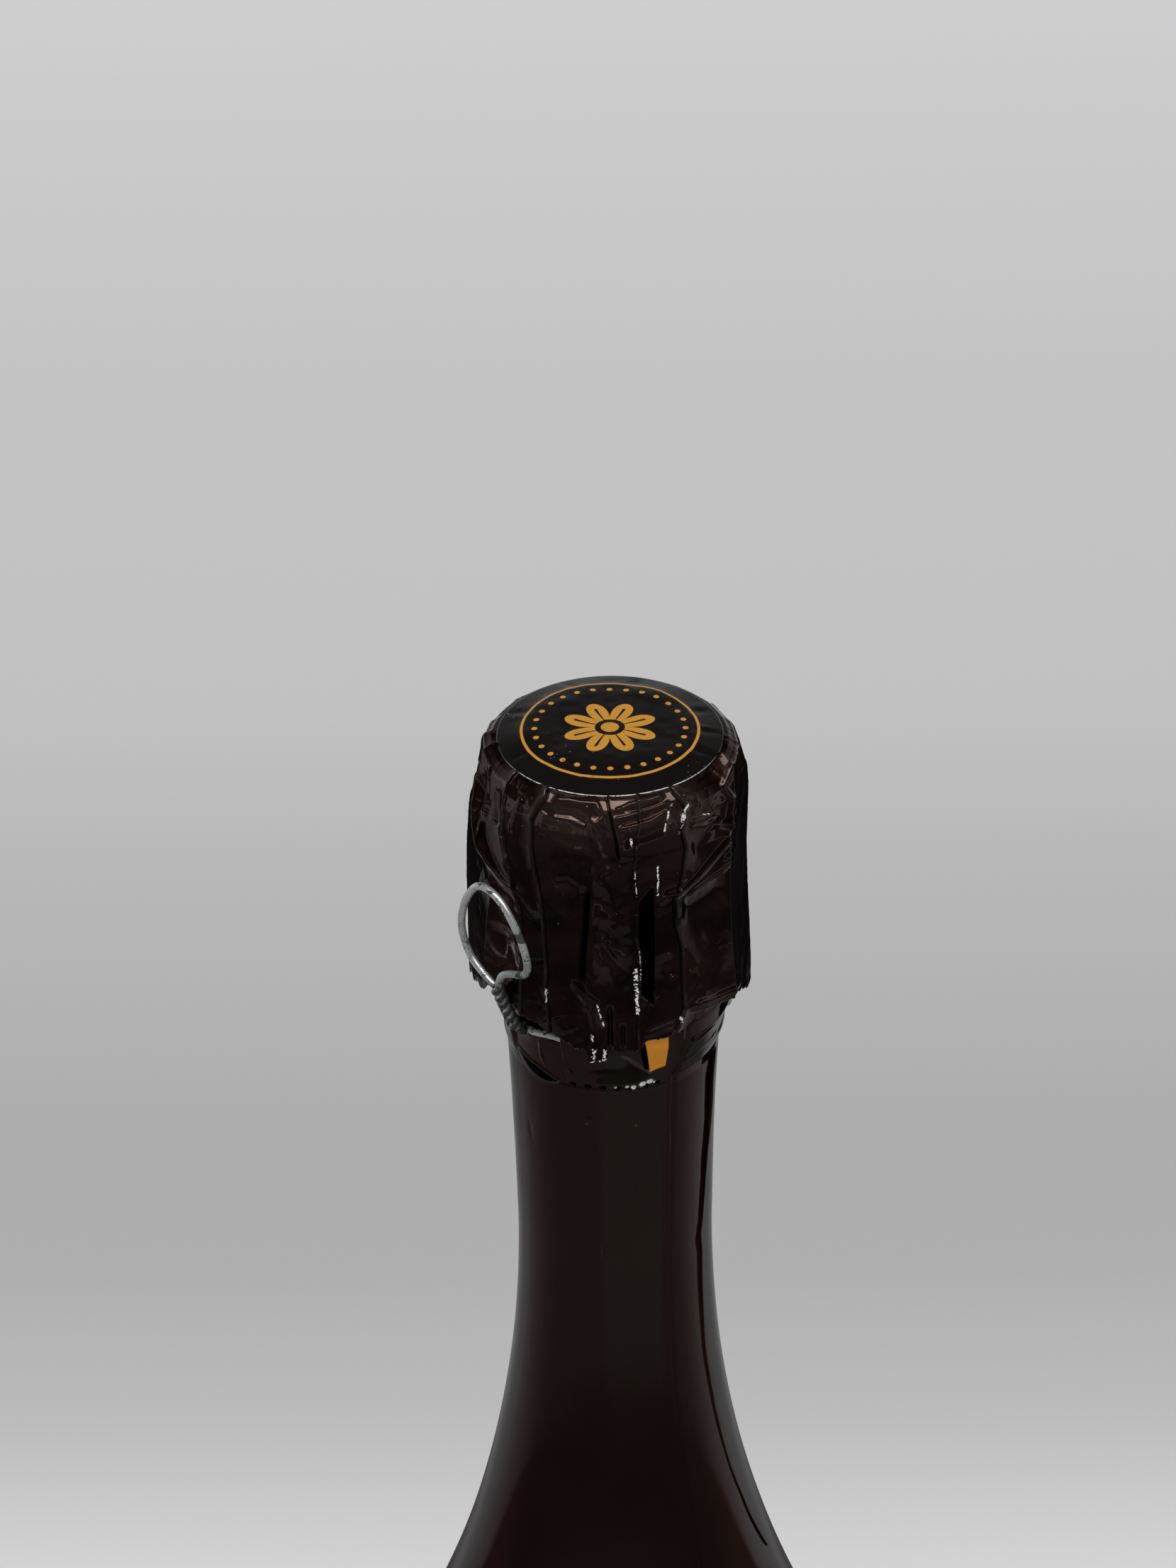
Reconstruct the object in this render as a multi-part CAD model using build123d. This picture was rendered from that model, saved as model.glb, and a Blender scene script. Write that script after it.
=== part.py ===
from build123d import *
import os
from math import acos, asin, cos, degrees, pi, radians, sin

# A sealed 750 ml bottle of sparkling wine: glass, wine, mushroom cork, wire cage and foil capsule.
# Lengths are millimetres. The bottle stands on z = 0, its axis is Z and its front faces -Y.
# Azimuths are degrees round the axis from the front, positive towards +X.

# Glass body
bottle_height = 299.0
body_diameter = 94.0
body_wall = 4.9
neck_wall = 3.6
neck_length = 40.8
waist_diameter = 27.7
neck_sweep_radius = 216.0
shoulder_radius = 50.0
heel_radius = 10.0
heel_slope = 6.0
bearing_land_width = 2.8
bearing_bevel = 1.2
punt_depth = 34.0
punt_crown_diameter = 16.0
punt_crown_round = 9.0
floor_thickness = 9.0
punt_wall = 8.0

# Mouth of the bottle: lip, groove, the collar that holds the cage down, and the bore
lip_diameter = 28.8
lip_height = 7.5
groove_diameter = 26.8
groove_height = 6.5
collar_diameter = 31.6
collar_height = 6.0
collar_underslope = 2.2
neck_top_diameter = 28.2
mouth_bevel = 1.2
finish_bevel = 0.7
bore_diameter = 18.0
bore_length = 30.0

# Wine
ullage_below_waist = 21.0
liquid_gap = 0.03

# Cork
cork_insertion = 24.5
cork_disc_thickness = 5.5
cork_fit = 0.05
cork_head_inset = 0.3
cork_head_height = 17.0
cork_seat_gap = 0.1
cork_flare_height = 4.5
cork_flare_across_share = 0.58
cork_flare_up_share = 0.34
cork_underside_reach = 3.0
cork_top_bevel = 2.2
cork_top_bevel_share = 0.35
cork_end_bevel = 0.6

# Cap plate under the foil
plate_inset = 0.5
plate_thickness = 0.3
plate_gap = 0.03
plate_crown_clearance = 1.5
plate_crown_slope = 1.4
plate_crown_height = 2.6

# Wire cage: a frame wire that makes the crown ring and the four twisted legs, and a belt wire
frame_wire_diameter = 0.9
belt_wire_diameter = 1.0
wire_gap = 0.05
frame_wire_sides = 6
belt_wire_sides = 6
leg_count = 4
first_leg_azimuth = -8.0
leg_turns = 4
steps_per_turn = 5
crown_ring_inset = 0.9
leg_root_width = 2.8
ring_entry_share = 0.75
leg_shoulder_drop = 1.4
leg_twist_drop = 3.6
leg_shoulder_spread_share = 0.45
leg_shoulder_reach_share = 0.5
belt_drop = 0.6
eyelet_rise = 2.3
eyelet_turn_share = 0.75
eyelet_steps = 6

# Pull loop, twisted from the two ends of the belt wire
loop_azimuth = -49.0
loop_face_azimuth = -45.0
tail_root_reach = 0.95
tail_root_bend = 0.75
tail_root_share = 0.6
tail_knee_share = 0.5
tail_foot_reach = 2.22
tail_foot_rise = 1.2
tail_lean = 3.3
tail_top_rise = 10.4
tail_turns = 3
loop_width = 13.2
loop_height = 14.9
# Corners of the loop from the top of its twist: across and up as shares of its width and height,
# then the bend at that corner as a share of the width
loop_corner_shares = [
    (-0.515, 0.15, 0.30),
    (-0.455, 0.74, 0.40),
    (-0.235, 1.05, 0.19),
    (0.270, 0.87, 0.36),
    (0.500, 0.28, 0.09),
]

# Foil
foil_thickness = 0.25
foil_gap = 0.05
neck_foil_skirt_length = 84.0
neck_foil_pinch_drop = 7.5
neck_foil_pinch_clearance = 0.65
neck_foil_flare_clearance = 0.53
neck_foil_flare_rise = 1.2
belt_window_clearance = 1.9
belt_window_start = -63.0
belt_window_end = -29.0

# Pull tab of the tear strip
tab_width = 3.4
tab_length = 6.2
tab_thickness = 0.3
tab_azimuth = 21.0
tab_gap = 0.1
tab_tuck = 0.8
tab_fall_share = 0.8

# Foil hood over cork and cage
hood_lip_tuck = 1.6
hood_rim_margin = 0.5
hood_shoulder_inset = 1.0
hood_shoulder_drop = 2.0
hood_side_clearance = 0.58
hood_side_drop = 6.0
hood_hem_clearance = 1.25
hood_hem_rise = 0.6
hood_crown_clearance = 0.8
tail_slit_clearance = 0.5
# Torn edge at the front, left to right: across as shares of the hem's radius, and how far the
# edge has been torn up from the lowest point, in shares of torn_depth
torn_depth = 8.0
front_tear_shares = [
    (-1.05, 0.55), (-0.99, 0.66), (-0.92, 0.86), (-0.83, 1.00), (-0.78, 0.94), (-0.69, 0.62),
    (-0.59, 0.60), (-0.49, 0.56), (-0.38, 0.40), (-0.28, 0.24), (-0.22, 0.25), (-0.19, 0.02),
    (-0.08, 0.00), (0.02, 0.22), (0.16, 0.20), (0.21, 0.33), (0.38, 0.42), (0.46, 0.44),
    (0.60, 0.56), (0.78, 0.57), (0.87, 0.55), (0.95, 0.36), (0.99, 0.05), (1.05, 0.00),
]
rear_tear_shares = [
    (-1.05, 0.55), (-0.96, 0.40), (-0.80, 0.18), (-0.60, 0.30), (-0.42, 0.24), (-0.20, 0.06),
    (0.00, 0.12), (0.22, 0.26), (0.40, 0.12), (0.62, 0.20), (0.84, 0.05), (1.05, 0.00),
]

# Round head of the hood
head_thickness = 0.3
head_crown_margin = 0.5
head_crown_rise = 0.8
head_dome_diameter = 9.0
head_dome_rise = 0.4

# Radii and heights that follow from the sizes above
body_radius = body_diameter / 2
bearing_inner_radius = body_radius - heel_radius - bearing_land_width - bearing_bevel
waist_radius = waist_diameter / 2
bore_radius = bore_diameter / 2
lip_radius = lip_diameter / 2
groove_radius = groove_diameter / 2
collar_radius = collar_diameter / 2
neck_top_radius = neck_top_diameter / 2
bore_waist_radius = waist_radius - neck_wall
lip_base = bottle_height - lip_height
collar_top = lip_base - groove_height
collar_bottom = collar_top - collar_height
collar_root = collar_bottom - collar_underslope
waist_height = collar_root - neck_length
cork_top = bottle_height + cork_head_height
cork_head_radius = collar_radius - cork_head_inset
wine_level = waist_height - ullage_below_waist

frame_wire_radius = frame_wire_diameter / 2
belt_wire_radius = belt_wire_diameter / 2
chord_factor = cos(pi / steps_per_turn)
strand_offset = (frame_wire_radius + wire_gap / 2) / chord_factor
leg_radius = collar_radius + 2 * wire_gap + strand_offset + frame_wire_radius
eyelet_radius = (belt_wire_radius + wire_gap + frame_wire_radius) / cos(pi * eyelet_turn_share / eyelet_steps)
belt_radius = neck_top_radius + wire_gap + frame_wire_radius + eyelet_radius
belt_height = collar_root - belt_drop
tail_offset = (belt_wire_radius + wire_gap / 2) / chord_factor
plate_base = cork_top + plate_gap
plate_radius = cork_head_radius - plate_inset
ring_radius = plate_radius - crown_ring_inset
ring_height = plate_base + plate_thickness + frame_wire_radius + wire_gap
plate_crown_foot_radius = ring_radius - plate_crown_clearance
plate_crown_radius = plate_crown_foot_radius - plate_crown_slope
tail_foot_radius = belt_radius + tail_foot_reach
tail_top_radius = tail_foot_radius + tail_lean

flare_top = belt_height + neck_foil_flare_rise
flare_radius = belt_radius + eyelet_radius + frame_wire_radius + neck_foil_flare_clearance + foil_thickness
pinch_height = belt_height - neck_foil_pinch_drop
pinch_radius = neck_top_radius + neck_foil_pinch_clearance + foil_thickness
hood_lip_base = ring_height + frame_wire_radius + hood_crown_clearance
hem_height = belt_height + hood_hem_rise
hem_radius = flare_radius + hood_hem_clearance + foil_thickness
hood_side_radius = leg_radius + strand_offset + frame_wire_radius + hood_side_clearance + foil_thickness
head_radius = cork_head_radius


def polar(azimuth, radius, height, aside=0):
    """Point at an azimuth, a radius and a height, moved aside along the tangent."""
    turn = radians(azimuth)
    return Vector(
        radius * sin(turn) + aside * cos(turn),
        -radius * cos(turn) + aside * sin(turn),
        height,
    )


def turned(*lines):
    """Solid of revolution about the bottle's axis, its closed outline drawn as (radius, height)."""
    return revolve(Plane.XZ * make_face(Curve() + list(lines)), Axis.Z)


def turned_sheet(line, thickness, side):
    """Thin shell of revolution, from an open line drawn as (radius, height)."""
    return revolve(Plane.XZ * make_face(offset(line, thickness, side=side, kind=Kind.INTERSECTION)), Axis.Z)


def shoulder_arcs(body, waist, round_radius, sweep_radius):
    """Shoulder of the bottle as two arcs that meet in one tangent, and the height they start from."""
    reach = round_radius + sweep_radius
    turn = acos(1 - (body - waist) / reach)
    base = waist_height - reach * sin(turn)
    round_arc = CenterArc((body - round_radius, base), round_radius, 0, degrees(turn))
    sweep_arc = CenterArc((waist + sweep_radius, waist_height), sweep_radius, 180, degrees(turn))
    return round_arc, sweep_arc, base


def cavity_lines(gap):
    """Inside of the bottle from the axis at the punt up to the waist, drawn in by a gap."""
    body = body_radius - body_wall - gap
    floor = floor_thickness + gap
    crown = punt_depth + punt_wall + gap
    arcs = shoulder_arcs(body, bore_waist_radius - gap, shoulder_radius - body_wall - gap,
                         neck_sweep_radius + neck_wall + gap)
    low = Polyline(
        (0, crown),
        (punt_crown_diameter / 2 + gap, crown),
        (bearing_inner_radius + gap, floor),
        (body - heel_slope, floor),
        (body, floor + heel_slope),
        (body, arcs[2]),
    )
    return [low, arcs[0], arcs[1]]


def make_glass_bottle():
    round_arc, sweep_arc, base = shoulder_arcs(body_radius, waist_radius, shoulder_radius, neck_sweep_radius)
    foot = FilletPolyline(
        (0, punt_depth),
        (punt_crown_diameter / 2, punt_depth),
        (bearing_inner_radius, bearing_bevel),
        (bearing_inner_radius + bearing_bevel, 0),
        (body_radius, 0),
        (body_radius, base),
        radius=[punt_crown_round, 0, 0, heel_radius],
    )
    finish = Polyline(
        (waist_radius, waist_height),
        (neck_top_radius, collar_root),
        (collar_radius, collar_bottom),
        (collar_radius, collar_top - finish_bevel),
        (collar_radius - finish_bevel, collar_top),
        (groove_radius, collar_top + finish_bevel),
        (groove_radius, lip_base - finish_bevel),
        (lip_radius, lip_base + finish_bevel),
        (lip_radius, bottle_height - mouth_bevel),
        (lip_radius - mouth_bevel, bottle_height),
        (bore_radius + mouth_bevel, bottle_height),
        (bore_radius, bottle_height - mouth_bevel),
        (bore_radius, bottle_height - bore_length),
        (bore_waist_radius, waist_height),
    )
    axis_line = Line((0, punt_depth), (0, punt_depth + punt_wall))
    return turned(foot, round_arc, sweep_arc, finish, *cavity_lines(0), axis_line)


def make_wine():
    lid = Polyline((bore_waist_radius - liquid_gap, waist_height), (0, waist_height),
                   (0, punt_depth + punt_wall + liquid_gap))
    full = turned(*cavity_lines(liquid_gap), lid)
    return split(full, Plane.XY.offset(wine_level), keep=Keep.BOTTOM)


def cork_end_height():
    return bottle_height - cork_insertion


def make_cork_disc(order):
    base = cork_end_height() + order * cork_disc_thickness
    radius = bore_radius - cork_fit
    disc = Pos(0, 0, base) * Cylinder(
        radius, cork_disc_thickness, align=(Align.CENTER, Align.CENTER, Align.MIN))
    if order == 0:
        disc = chamfer(disc.edges().sort_by(Axis.Z)[0], cork_end_bevel)
    return disc


def make_cork_body():
    base = cork_end_height() + 2 * cork_disc_thickness
    seat = bottle_height + cork_seat_gap
    shaft_radius = bore_radius - cork_fit
    underside_radius = bore_radius + cork_underside_reach
    flare_corner_radius = underside_radius + cork_flare_across_share * (cork_head_radius - underside_radius)
    small_bevel = cork_top_bevel * cork_top_bevel_share
    outline = Polyline(
        (0, base),
        (shaft_radius, base),
        (shaft_radius, seat),
        (underside_radius, seat),
        (flare_corner_radius, seat + cork_flare_up_share * cork_flare_height),
        (cork_head_radius, seat + cork_flare_height),
        (cork_head_radius, cork_top - cork_top_bevel),
        (cork_head_radius - small_bevel, cork_top - small_bevel),
        (cork_head_radius - cork_top_bevel, cork_top),
        (0, cork_top),
        (0, base),
    )
    return turned(outline)


def make_cap_plate():
    top = plate_base + plate_crown_height
    line = Polyline(
        (0, top),
        (plate_crown_radius, top),
        (plate_crown_foot_radius, plate_base),
        (plate_radius, plate_base),
    )
    return turned_sheet(line, plate_thickness, Side.LEFT)


def wire_along(points, diameter, sides):
    """Drawn wire of a many-sided section, mitred at each point of its path."""
    path = Polyline(*points)
    start = Plane(origin=path @ 0, z_dir=path % 0)
    return sweep(start * RegularPolygon(diameter / 2, sides), path=path, transition=Transition.RIGHT)


def strand(low, high, across, offset_radius, turns, steps, phase):
    """Points of one strand of a twist about the line from low to high."""
    rise = high - low
    square = rise.normalized().cross(across)
    count = turns * steps
    points = []
    for step in range(count + 1):
        angle = phase + 2 * pi * turns * step / count
        ring = across * (offset_radius * cos(angle)) + square * (offset_radius * sin(angle))
        points.append(low + rise * (step / count) + ring)
    return points


def make_cage_leg(azimuth):
    """One leg: the frame wire comes off the crown ring, twists down, rounds the belt and returns."""
    across = polar(azimuth, 0, 0, 1)
    low = polar(azimuth, leg_radius, belt_height + eyelet_rise)
    high = polar(azimuth, leg_radius, ring_height - leg_twist_drop)
    right = strand(low, high, across, strand_offset, leg_turns, steps_per_turn, 0)
    left = strand(low, high, across, strand_offset, leg_turns, steps_per_turn, pi)
    plate_edge = plate_radius + frame_wire_radius
    shoulder_aside = leg_root_width * leg_shoulder_spread_share

    def top_bend(sign):
        ring_angle = degrees(leg_root_width / ring_radius)
        bend_radius = plate_edge + leg_shoulder_reach_share * (leg_radius - plate_edge)
        return [
            polar(azimuth, bend_radius, ring_height - leg_shoulder_drop, sign * shoulder_aside),
            polar(azimuth, plate_edge, ring_height, sign * leg_root_width / 2),
            polar(azimuth + sign * ring_angle * ring_entry_share, ring_radius, ring_height),
            polar(azimuth + sign * ring_angle, ring_radius, ring_height),
        ]

    eyelet = []
    for step in range(eyelet_steps + 1):
        share = step / eyelet_steps
        angle = pi / 2 + 2 * pi * eyelet_turn_share * share
        aside = strand_offset * (1 - 2 * share)
        eyelet.append(polar(azimuth, belt_radius + eyelet_radius * cos(angle),
                            belt_height + eyelet_radius * sin(angle), aside))
    points = top_bend(1)[::-1] + right[::-1] + eyelet + left + top_bend(-1)
    return wire_along(points, frame_wire_diameter, frame_wire_sides)


def make_crown_ring():
    """The four arcs of frame wire that lie on the cap plate between the legs."""
    spread = degrees((leg_root_width + wire_gap) / ring_radius)
    span = 360 / leg_count - 2 * spread
    arcs = []
    for leg in range(leg_count):
        start = first_leg_azimuth + leg * 360 / leg_count + spread - 90
        section = Plane(origin=polar(start + 90, ring_radius, ring_height),
                        z_dir=polar(start + 90, 0, 0, 1))
        path = Pos(0, 0, ring_height) * CenterArc((0, 0), ring_radius, start, span)
        arcs.append(sweep(section * RegularPolygon(frame_wire_radius, frame_wire_sides), path=path))
    return Compound(children=[arc.solid() for arc in arcs])


def make_belt_wire():
    """The belt: nearly a full ring, its ends bent outwards side by side at the twist."""
    start_angle = degrees((tail_offset + tail_root_bend) / belt_radius)
    ring = CenterArc((0, 0), belt_radius, loop_azimuth - 90 + start_angle, 360 - 2 * start_angle)
    ring = Pos(0, 0, belt_height) * ring

    def end_points(side):
        reaches = (tail_root_reach, tail_root_bend * tail_root_share)
        return [polar(loop_azimuth, belt_radius + reach, belt_height, side * tail_offset) for reach in reaches]

    first = Polyline(*end_points(1), ring @ 0)
    last = Polyline(ring @ 1, *end_points(-1)[::-1])
    path = Wire(first.edges() + ring.edges() + last.edges())
    section = Plane(origin=first @ 0, z_dir=first % 0)
    hexagon = RegularPolygon(belt_wire_radius, belt_wire_sides, rotation=180 / belt_wire_sides)
    return sweep(section * hexagon, path=path, transition=Transition.RIGHT)


def make_wire_loop():
    """Twist and loop: one wire up the twist, round the loop and down again."""
    across = polar(loop_azimuth, 0, 0, 1)
    low = polar(loop_azimuth, tail_foot_radius, belt_height + tail_foot_rise)
    high = polar(loop_azimuth, tail_top_radius, belt_height + tail_top_rise)
    right = strand(low, high, across, tail_offset, tail_turns, steps_per_turn, 0)
    left = strand(low, high, across, tail_offset, tail_turns, steps_per_turn, pi)
    root = belt_radius + tail_root_reach + wire_gap
    sideways = polar(loop_face_azimuth, 0, 0, 1)
    corners = []
    bends = []
    for across_share, up_share, bend_share in loop_corner_shares:
        corners.append(high + sideways * (across_share * loop_width) + Vector(0, 0, up_share * loop_height))
        bends.append(bend_share * loop_width)
    ring = FilletPolyline(left[-1], *corners, right[-1], radius=bends)
    knee = root + tail_knee_share * (tail_foot_radius - root)
    ends = [[polar(loop_azimuth, radius, belt_height, side * tail_offset) for radius in (root, knee)]
            for side in (-1, 1)]
    up = Polyline(*ends[0], *left)
    down = Polyline(*right[::-1], *ends[1][::-1])
    path = Wire(up.edges() + ring.edges() + down.edges())
    section = Plane(origin=up @ 0, z_dir=up % 0)
    return sweep(section * RegularPolygon(belt_wire_radius, belt_wire_sides), path=path,
                 transition=Transition.RIGHT)


def make_neck_foil():
    """Skirt of the capsule, drawn tight on the neck and flared out over the foot of the cage."""
    skirt_radius = neck_sweep_radius - foil_gap
    turn = asin(neck_foil_skirt_length / skirt_radius)
    skirt = CenterArc((waist_radius + neck_sweep_radius, waist_height), skirt_radius, 180, degrees(turn))
    top = Polyline(
        (waist_radius + foil_gap, waist_height),
        (pinch_radius - foil_thickness, pinch_height),
        (flare_radius - foil_thickness, flare_top),
    )
    shell = turned_sheet(Wire(skirt.edges() + top.edges()), foil_thickness, Side.LEFT)
    reach = 2 * flare_radius
    middle = (belt_window_start + belt_window_end) / 2
    corners = [polar(azimuth, reach, 0) for azimuth in (belt_window_start, middle, belt_window_end)]
    window = extrude(make_face(Polyline((0, 0, 0), *corners, (0, 0, 0))), reach)
    return shell - Pos(0, 0, belt_height - belt_wire_radius - belt_window_clearance) * window


def make_tear_tab():
    """Free end of the tear strip, tucked under the hood and hanging down outside the flare."""
    tuck_radius = flare_radius + tab_gap + tab_thickness
    flare_slope = (flare_radius - pinch_radius) / (flare_top - pinch_height)
    fall = tab_fall_share * flare_slope * (tab_length - tab_tuck)
    line = Polyline(
        (tuck_radius, flare_top + tab_tuck),
        (tuck_radius, flare_top),
        (tuck_radius - fall, flare_top + tab_tuck - tab_length),
    )
    side_plane = Plane(origin=(0, 0, 0), x_dir=polar(tab_azimuth, 1, 0),
                       z_dir=polar(tab_azimuth, 1, 0).cross(Vector(0, 0, 1)))
    strip = make_face(offset(line, tab_thickness, side=Side.RIGHT))
    return extrude(side_plane * strip, tab_width / 2, both=True)


def hood_cutter(shares, reach):
    """Everything below the torn edge on one side of the bottle."""
    points = [(across * hem_radius, hem_height + up * torn_depth) for across, up in shares]
    low = hem_height - torn_depth
    outline = Polyline((points[0][0], low), *points, (points[-1][0], low), (points[0][0], low))
    return extrude(Plane.XZ * make_face(outline), reach)


def make_hood_foil():
    lip = hood_lip_base
    side = hood_side_radius - foil_thickness
    line = Polyline(
        (head_radius - hood_lip_tuck, lip),
        (head_radius + hood_rim_margin - foil_thickness, lip),
        (side - hood_shoulder_inset, lip - hood_shoulder_drop),
        (side, lip - hood_side_drop),
        (hem_radius - foil_thickness, hem_height),
    )
    shell = turned_sheet(line, foil_thickness, Side.LEFT)
    shell -= hood_cutter(front_tear_shares, 2 * hem_radius)
    shell -= hood_cutter(rear_tear_shares, -2 * hem_radius)
    tail_reach = tail_offset + belt_wire_radius + tail_slit_clearance
    exit_share = (hem_radius + tail_reach - tail_foot_radius) / (tail_top_radius - tail_foot_radius)
    slit_top = belt_height + tail_foot_rise + exit_share * (tail_top_rise - tail_foot_rise)
    slit_base = hem_height - torn_depth
    slit = Box(2 * tail_reach, 2 * hem_radius, slit_top - slit_base,
               align=(Align.CENTER, Align.MAX, Align.MIN))
    return shell - Rot(0, 0, loop_azimuth) * Pos(0, 0, slit_base) * slit


def make_hood_head():
    base = hood_lip_base + foil_thickness
    crown = base + head_crown_rise
    head_crown_radius = plate_crown_radius + head_crown_margin
    line = Polyline(
        (head_radius, base),
        (head_crown_radius + head_crown_rise, base),
        (head_crown_radius, crown),
        (head_dome_diameter / 2, crown + head_dome_rise),
        (0, crown + head_dome_rise),
    )
    return turned_sheet(line, head_thickness, Side.RIGHT)


leg_names = ["front", "right", "rear", "left"]
pieces = {
    "glass_bottle": make_glass_bottle(),
    "wine": make_wine(),
    "cork_body": make_cork_body(),
    "cork_disc_lower": make_cork_disc(0),
    "cork_disc_upper": make_cork_disc(1),
    "cap_plate": make_cap_plate(),
    "cage_crown_ring": make_crown_ring(),
    "belt_wire": make_belt_wire(),
    "wire_loop": make_wire_loop(),
    "neck_foil": make_neck_foil(),
    "tear_tab": make_tear_tab(),
    "hood_foil": make_hood_foil(),
    "hood_head": make_hood_head(),
}
for order, name in enumerate(leg_names):
    pieces["cage_leg_" + name] = make_cage_leg(first_leg_azimuth + order * 360 / leg_count)

os.makedirs("parts", exist_ok=True)
for name, piece in pieces.items():
    export_step(piece, "parts/" + name + ".step")
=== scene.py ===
import math
import random

import bmesh
import bpy
import numpy as np
from mathutils import Matrix, Vector, noise


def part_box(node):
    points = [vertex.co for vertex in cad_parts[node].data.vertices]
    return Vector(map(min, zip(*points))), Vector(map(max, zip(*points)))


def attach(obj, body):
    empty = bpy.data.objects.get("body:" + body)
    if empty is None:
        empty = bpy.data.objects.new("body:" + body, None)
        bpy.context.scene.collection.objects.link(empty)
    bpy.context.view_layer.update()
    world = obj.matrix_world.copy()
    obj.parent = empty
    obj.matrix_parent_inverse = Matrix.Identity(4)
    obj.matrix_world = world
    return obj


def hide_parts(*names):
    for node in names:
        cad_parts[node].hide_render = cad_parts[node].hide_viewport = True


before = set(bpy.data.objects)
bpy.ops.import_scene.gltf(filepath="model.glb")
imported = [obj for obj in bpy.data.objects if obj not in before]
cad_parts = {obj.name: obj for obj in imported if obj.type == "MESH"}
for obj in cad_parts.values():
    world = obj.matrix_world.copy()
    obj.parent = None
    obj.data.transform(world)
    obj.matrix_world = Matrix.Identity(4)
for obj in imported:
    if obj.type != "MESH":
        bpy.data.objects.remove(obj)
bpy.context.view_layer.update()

# Lengths are metres, or millimetres times mm. Azimuths are degrees round the bottle from its front,
# positive towards +X. The part's own box is kept.
mm = 0.001
scene = bpy.context.scene
scene.view_settings.view_transform = "Standard"


# Camera: held 0.6 m from the head of the capsule and looking down on it, so that it sees the head,
# the hood, the pull loop and the neck, and loses the shoulder at the bottom of the picture.
camera_place = Vector((0, -508.83, 636.45)) * mm
camera_pitch = math.radians(32.6423)
camera_yaw = math.radians(-0.3477)
camera_roll = math.radians(-0.7880)
picture_height_px = 2212
focal_length_px = 6210
sensor_height = 36
nearest_seen = 0.01

ahead = Vector((math.sin(camera_yaw) * math.cos(camera_pitch),
                math.cos(camera_yaw) * math.cos(camera_pitch),
                -math.sin(camera_pitch)))
rightwards = ahead.cross(Vector((0, 0, 1))).normalized()
upwards = rightwards.cross(ahead)
camera_right = rightwards * math.cos(camera_roll) + upwards * math.sin(camera_roll)
camera_up = upwards * math.cos(camera_roll) - rightwards * math.sin(camera_roll)
lens = bpy.data.cameras.new("camera")
lens.sensor_fit = "VERTICAL"
lens.sensor_height = sensor_height
lens.lens = focal_length_px / picture_height_px * sensor_height
lens.clip_start = nearest_seen
camera = bpy.data.objects.new("camera", lens)
camera.matrix_world = Matrix.Translation(camera_place) @ Matrix(
    (camera_right, camera_up, -ahead)).transposed().to_4x4()
scene.collection.objects.link(camera)
scene.camera = camera


# Studio: a pale floor that runs out behind the bottle, one wide soft lamp overhead, towards the front,
# and an even fill. Mirrors see a darker room: a pale wall low at the back, a dim card over the floor
# with a paler window on either side, and a black card behind on the right for the line by that rim.
class Shade:
    """A socket of a shader. Sums, differences, products, quotients and powers add Math nodes."""

    def __init__(self, tree, socket=None):
        self.tree = tree
        self.socket = socket

    def node(self, kind, settings=None, sockets=None, out=0):
        """Adds a node, with its settings first and then the values or links of its sockets."""
        made = self.tree.nodes.new("ShaderNode" + kind)
        for name, value in (settings or {}).items():
            if name == "stops":
                ramp = made.color_ramp
                for place, colour in value[2:]:
                    ramp.elements.new(place)
                for element, (place, colour) in zip(ramp.elements, value):
                    element.position = place
                    element.color = colour
            else:
                setattr(made, name, value)
        for name, value in (sockets or {}).items():
            set_socket(self.tree, made.inputs[name], value)
        return Shade(self.tree, made.outputs[out])

    def maths(self, operation, first, second=0):
        return self.node("Math", {"operation": operation}, {0: first, 1: second})

    def __add__(self, other):
        return self.maths("ADD", self, other)

    def __sub__(self, other):
        return self.maths("SUBTRACT", self, other)

    def __rsub__(self, other):
        return self.maths("SUBTRACT", other, self)

    def __mul__(self, other):
        return self.maths("MULTIPLY", self, other)

    def __truediv__(self, other):
        return self.maths("DIVIDE", self, other)

    def __pow__(self, other):
        return self.maths("POWER", self, other)

    def __neg__(self):
        return self * -1

    def __abs__(self):
        return self.maths("ABSOLUTE", self)

    __radd__ = __add__
    __rmul__ = __mul__


def set_socket(tree, socket, value):
    """Gives a socket a value, or links it to a shade."""
    if isinstance(value, Shade):
        tree.links.new(value.socket, socket)
    else:
        socket.default_value = value


def start_finish(name):
    """A new material, its first Shade and its surface shader."""
    material = bpy.data.materials.new(name)
    material.use_nodes = True
    return material, Shade(material.node_tree), material.node_tree.nodes["Principled BSDF"]


def apply_finish(start, shader, sockets):
    """Sets the sockets of a surface shader to values, or links them to shades."""
    for name, value in sockets.items():
        set_socket(start.tree, shader.inputs[name], value)


def between(value, low, high):
    """Smooth step of a value: 0 up to low, 1 from high on."""
    return value.node("MapRange", {"interpolation_type": "SMOOTHSTEP"},
                      {"Value": value, "From Min": low, "From Max": high})


def largest(first, *others):
    """The largest of some shades."""
    for other in others:
        first = first.maths("MAXIMUM", first, other)
    return first


def place_on(start):
    """Where a point of the piece is, in metres."""
    return start.node("TexCoord", out=3)


def axis(place, number):
    """One coordinate of a place: 0 to the right, 1 to the rear, 2 up."""
    return place.node("SeparateXYZ", {}, {0: place}, out=number)


def place_round(start):
    """Azimuth of a point round the bottle, in radians and positive to the right, and its distance."""
    place = place_on(start)
    side, depth = axis(place, 0), axis(place, 1)
    return start.maths("ARCTAN2", side, -depth), (side * side + depth * depth) ** 0.5


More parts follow.
